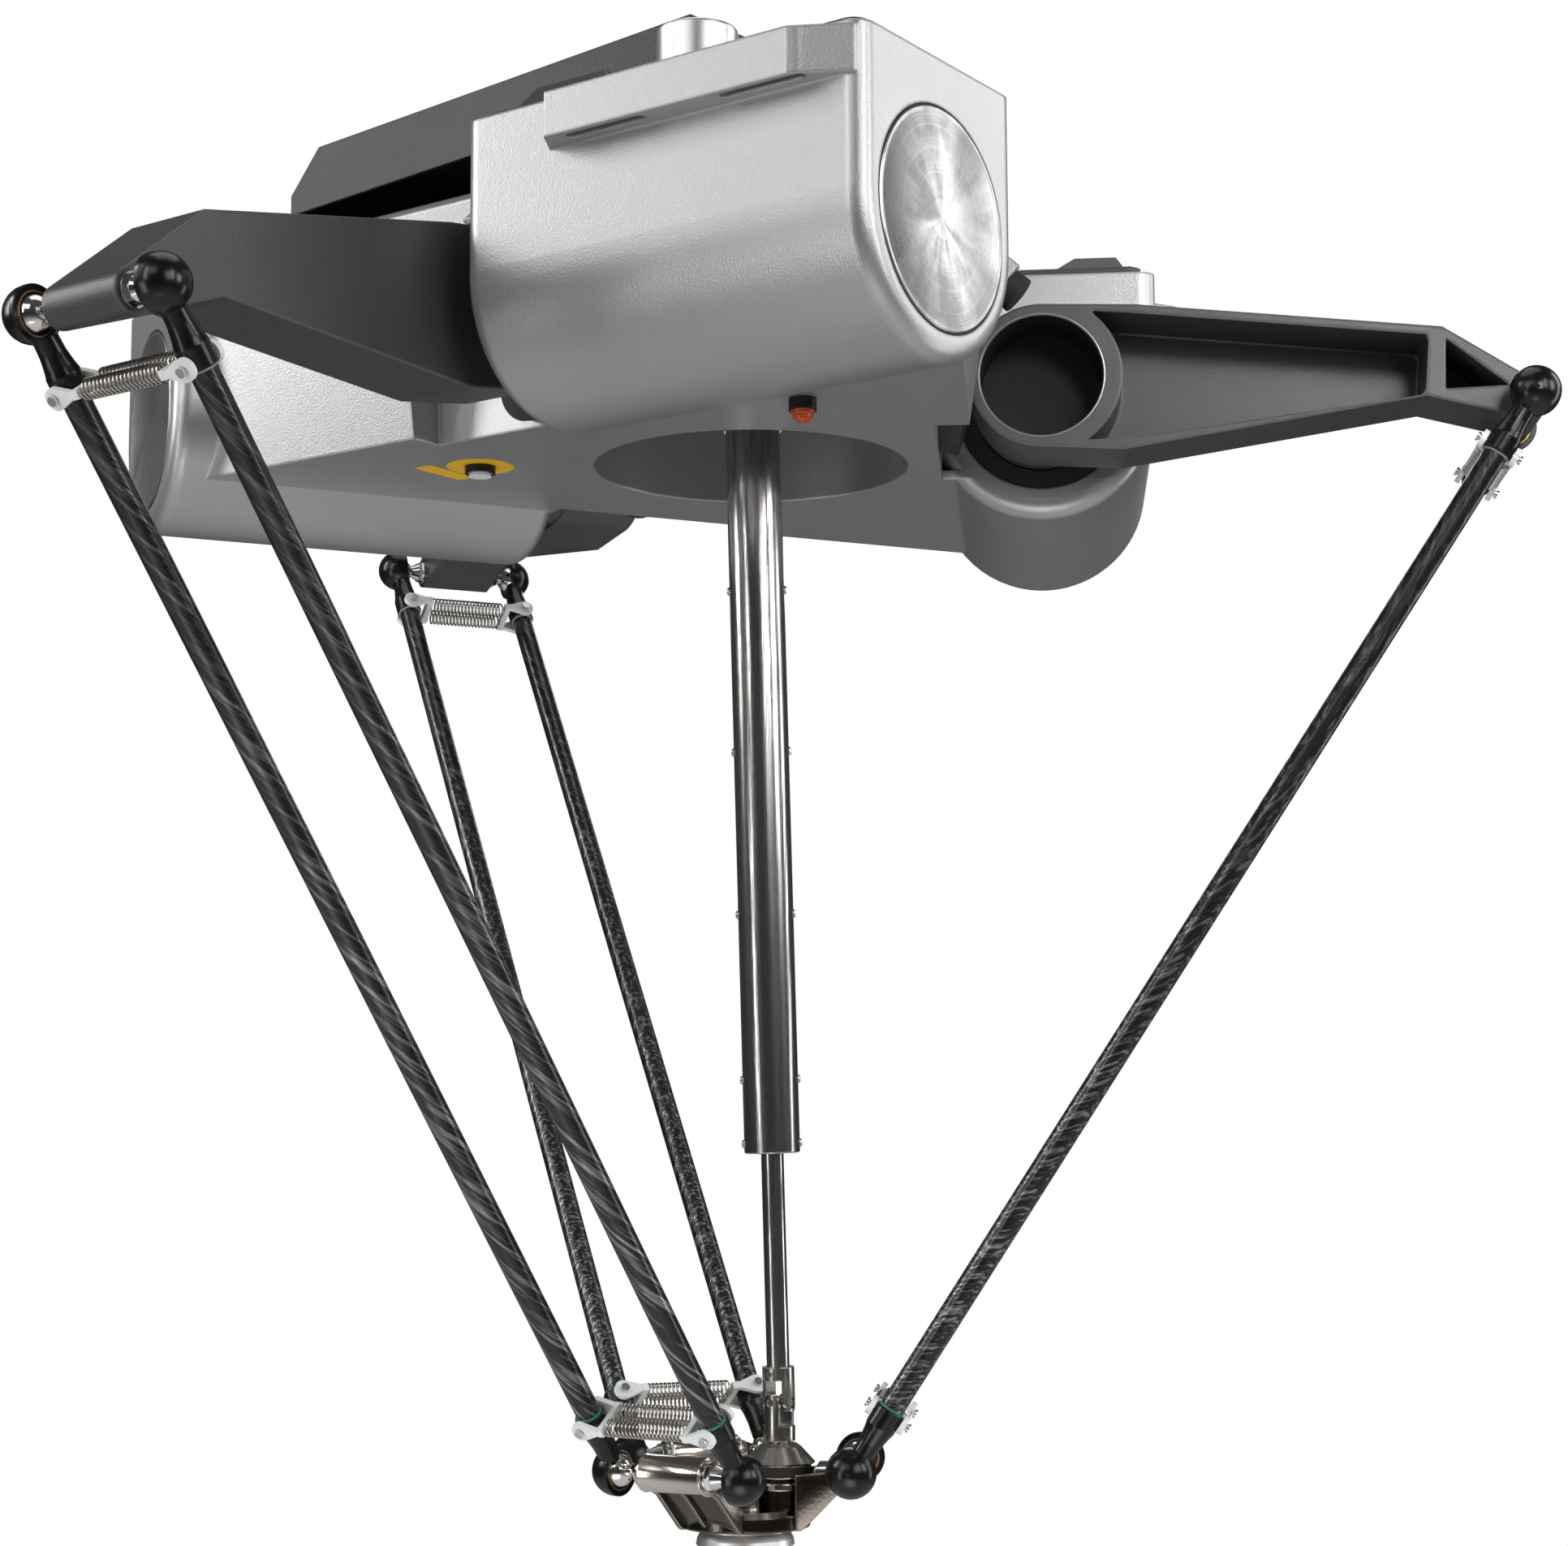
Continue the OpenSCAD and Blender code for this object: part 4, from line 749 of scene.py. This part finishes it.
for arm in ARMS:
    pair_place, _ = rod_pair(arm)
    springs = bmesh.new()
    for reach in (-pin_reach, pin_reach - rod_length):
        for side in (-1, 1):
            lie = Matrix.Translation((side * spring_aside, 0, reach)) @ Matrix.Rotation(
                -math.pi / 2, 4, "X")
            add_shape(springs, coil(spring_radius, 2 * spring_half, turns), pair_place @ lie)
    coils = finish_piece("coil_springs_" + arm, springs, spring_wire, "rods_" + arm,
                         sharp=80)
    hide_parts("springs_" + arm)
    dress(nylon, "spring_clips_" + arm)
    dress(screw_steel, "clip_pins_" + arm)

# ---- Theta shaft --------------------------------------------------------------------------
# A drawn stainless tube that slides over a ground shaft, with a universal joint at each end.
# Both lean from the base to the platform, and the drawing lines run along them.

joint_steel = tool_steel("joint_steel", (0.5, 0.48, 0.45), 0.22, 1800, 0.08, 0.0005)
dress(joint_steel, "output_yoke", "upper_cross", "tube_yoke", "guide_rails", "shaft_yoke",
      "pinion_shaft", "lower_cross", "flange_gear", "platform_bearings")


def make_drawn_lines():
    """Fine lines along Z, left by the die a tube is drawn through."""
    tree, given, result = node_group("drawn_lines", [
        ("Vector", VECTOR, None), ("Lines", FLOAT, 900.0), ("Depth", FLOAT, 0.2),
        ("Gloss", FLOAT, 0.2), ("Light", COLOR, None), ("Dark", COLOR, None)])
    ask = given.outputs
    squash = tree.nodes.new("ShaderNodeVectorMath")
    squash.operation = "MULTIPLY"
    squash.inputs[1].default_value = (1, 1, 0.004)
    tree.links.new(ask["Vector"], squash.inputs[0])
    lines = noise_node(tree, squash.outputs[0], scale=ask["Lines"], detail=3)
    normal = bump_node(tree, lines, ask["Depth"], distance=0.0003)
    colour = blend_node(tree, contrast_node(tree, lines, low=0.4, high=0.65), ask["Light"],
                        ask["Dark"])
    roughness = math_node(tree, "MULTIPLY_ADD", lines, 0.2, ask["Gloss"])
    give_finish(tree, result, colour, roughness, normal)
    return tree


drawn_lines = make_drawn_lines()
shaft_spots = nodes["inner_shaft"].data.vertices
shaft_foot = min(shaft_spots, key=lambda vertex: vertex.co.z).co
shaft_head = max(shaft_spots, key=lambda vertex: vertex.co.z).co
lean = (shaft_head - shaft_foot).normalized().to_track_quat("Z", "Y")
shaft_place = Matrix.Translation(shaft_foot) @ lean.to_matrix().to_4x4()
tube_steel = surface("tube_steel", (0.62, 0.6, 0.58), 1.0, 0.16)
drawn = use_group(tube_steel, drawn_lines, Gloss=0.08, Light=(0.66, 0.64, 0.62, 1),
                  Dark=(0.42, 0.4, 0.39, 1), Depth=0.25)
map_to(tube_steel, drawn, shaft_place)
dress(tube_steel, "outer_tube", "inner_shaft", "tube_bush")
dress(screw_steel, "tube_screws")

# ---- Platform -----------------------------------------------------------------------------
# A nickel-plated casting: a disc and a hub, and for each arm a barrel on three ribs with a
# hollow between them and a deck on top. The ribs, the hollows and the lower bands of the disc
# and hub are painted dark as painted shade, and the ribs' edges carry a painted highlight. It
# has a turned boss cover, a black seal with a bronze lip round its hub, and a pale tool flange.

platform_at = Vector((0.033, 0.018, -0.78))
barrel_out = 0.071
barrel_radius = 0.012
barrel_half = 0.025
stud_bore = 0.0093
disc_radius = 0.0417
disc_low = -0.0386
disc_high = -0.028
chamfer = disc_high - 0.002
disc_top = chamfer + 0.0038
hub_out = 0.022
hub_radius = 0.0205
hub_neck = hub_radius - 0.001
seal_groove = hub_radius - 0.0009
hub_top = 0.0008
hub_bearing = 0.0133
hub_opening = 0.012
ledge = -0.0103
ledge_low = ledge - 0.0045
rib_thick = 0.003
rib_rows = (-0.0228, -0.002, 0.0228)
floor_width = 0.043
deck_width = 0.044
inner_deck_width = 0.03
deck_low = -0.004
edge_ease = 0.0006
nickel = tool_steel("nickel", (0.66, 0.6, 0.54), 0.14, 700, 0.12, 0.0012)
# painted shade: the hollows and the lower bands of the disc and hub are darkened nickel
painted_shade_plate = tool_steel("painted_shade_plate", (0.1, 0.085, 0.07), 0.2, 500, 0.3, 0.0012)
# painted shade on the ribs, with a painted highlight along their edges
rib_shade_and_edge_glint = sprayed("rib_shade_and_edge_glint", (0.15, 0.13, 0.11), 1.0, 0.2, 500, 0.3, 0.0014,
                    wear_and_glint=8.0, worn_and_glint=(0.8, 0.74, 0.67), spread=0.12)


def slab_of(outline, thickness):
    """A plate of an outline in XZ, centred on Y, with eased edges."""
    shape = bmesh.new()
    face = shape.faces.new([shape.verts.new((x, -thickness / 2, z)) for x, z in outline])
    made = bmesh.ops.extrude_face_region(shape, geom=[face])
    moved = [item for item in made["geom"] if isinstance(item, bmesh.types.BMVert)]
    bmesh.ops.translate(shape, verts=moved, vec=(0, thickness, 0))
    bmesh.ops.recalc_face_normals(shape, faces=shape.faces)
    bmesh.ops.bevel(shape, geom=shape.edges[:], offset=edge_ease, offset_type="OFFSET",
                    affect="EDGES", segments=2, profile=0.5, clamp_overlap=True)
    return shape


barrel_end = [(stud_bore, barrel_half), (barrel_radius - 0.0012, barrel_half),
              (barrel_radius - 0.0002, barrel_half - 0.0005),
              (barrel_radius, barrel_half - 0.0012),
              (barrel_radius - 0.0004, barrel_half - 0.0022)]
barrel_profile = [(radius, -height) for radius, height in barrel_end] + barrel_end[::-1]
rib_outline = [(0.0705, -0.0107), (0.0625, -0.0145), (0.0405, -0.0365), (0.0375, disc_low),
               (0.034, disc_low), (0.034, deck_low), (0.0603, -0.002), (0.0634, -0.0076)]
floor_outline = [(0.0595, -0.0055), (0.0615, -0.0115), (0.0365, -0.0365), (0.031, -0.0365),
                 (0.049, -0.0055)]
deck_outline = [(0.0606, deck_low), (0.0606, 0.0), (0.046, 0.0), (0.046, deck_low)]
inner_deck_outline = [(0.047, deck_low), (0.047, 0.0), (hub_opening, 0.0),
                      (hub_opening, deck_low)]
body = bmesh.new()
floors = bmesh.new()
ribs = bmesh.new()
for arm, facing in ARMS.items():
    arm_place = Matrix.Translation(platform_at) @ Matrix.Rotation(facing, 4, "Z")
    barrel_place = arm_place @ Matrix.Translation((barrel_out, 0, 0)) @ Matrix.Rotation(
        -math.pi / 2, 4, "X")
    add_shape(body, lathe(barrel_profile, 64, closed=True), barrel_place)
    for aside in rib_rows:
        add_shape(ribs, slab_of(rib_outline, rib_thick),
                  arm_place @ Matrix.Translation((0, aside, 0)))
    add_shape(floors, slab_of(floor_outline, floor_width), arm_place)
    add_shape(body, slab_of(deck_outline, deck_width), arm_place)
    # the hub stands on arm b's side, where the deck would run into it
    if arm != "b":
        add_shape(body, slab_of(inner_deck_outline, inner_deck_width), arm_place)
disc_place = Matrix.Translation(platform_at)
hub_place = Matrix.Translation(platform_at + hub_out * Vector(
    (math.cos(ARMS["b"]), math.sin(ARMS["b"]), 0)))
add_shape(floors, lathe([(0.028, disc_low), (disc_radius - 0.001, disc_low),
                         (disc_radius, disc_low + 0.001), (disc_radius, chamfer)]), disc_place)
add_shape(body, lathe([(disc_radius, chamfer), (disc_radius - 0.0042, disc_top),
                       (0.02, disc_top), (0.02, deck_low), (hub_opening, deck_low)]),
          disc_place)
add_shape(floors, lathe([(hub_radius, chamfer + 0.0036), (hub_radius, ledge_low)]), hub_place)
add_shape(body, lathe([(hub_radius, ledge_low), (hub_radius + 0.0008, ledge - 0.004),
                       (hub_radius + 0.0004, ledge), (hub_neck, ledge + 0.0004)]), hub_place)
add_shape(floors, lathe([(hub_neck, ledge + 0.0004), (hub_neck, ledge + 0.003)]), hub_place)
add_shape(body, lathe([(hub_neck, ledge + 0.003), (hub_radius - 0.0004, ledge + 0.0034),
                       (hub_neck, ledge + 0.0038), (hub_neck, hub_top),
                       (hub_bearing, hub_top), (hub_bearing, deck_low)]), hub_place)
bmesh.ops.remove_doubles(body, verts=body.verts, dist=1e-7)
platform_shell = finish_piece("platform_shell", body, nickel, "platform")
platform_floors = finish_piece("platform_floors", floors, painted_shade_plate, "platform")
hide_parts("platform_body")
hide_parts("platform_body")
platform_ribs = finish_piece("platform_ribs", ribs, rib_shade_and_edge_glint, "platform")
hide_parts("platform_body")
seal_line = lathe([(seal_groove, ledge + 0.0044), (hub_radius, ledge + 0.0046),
                   (hub_radius, -0.0004), (seal_groove, -0.0002)])
finish_piece("hub_seal", seal_line, rubber_black, "platform", hub_place)
seal_lip = lathe([(seal_groove, ledge + 0.0038), (hub_radius - 0.0002, ledge + 0.0041),
                  (seal_groove, ledge + 0.0044)])
finish_piece("hub_seal_lip", seal_lip, bronze, "platform", hub_place)
# the boss cover and the tool flange get fainter painted reflection fans
turned_steel = turned("turned_steel", (0.66, 0.62, 0.57), (0.4, 0.36, 0.32), 0.16, hub_place,
                      rings=2600, depth=0.25, painted_fans=0.4)
dress(turned_steel, "boss_cover")
tool_metal = turned("tool_metal", (0.95, 0.95, 0.95), (0.8, 0.8, 0.8), 0.35,
                    disc_place, rings=2200, depth=0.2, painted_fans=0.3)
dress(tool_metal, "tool_flange")
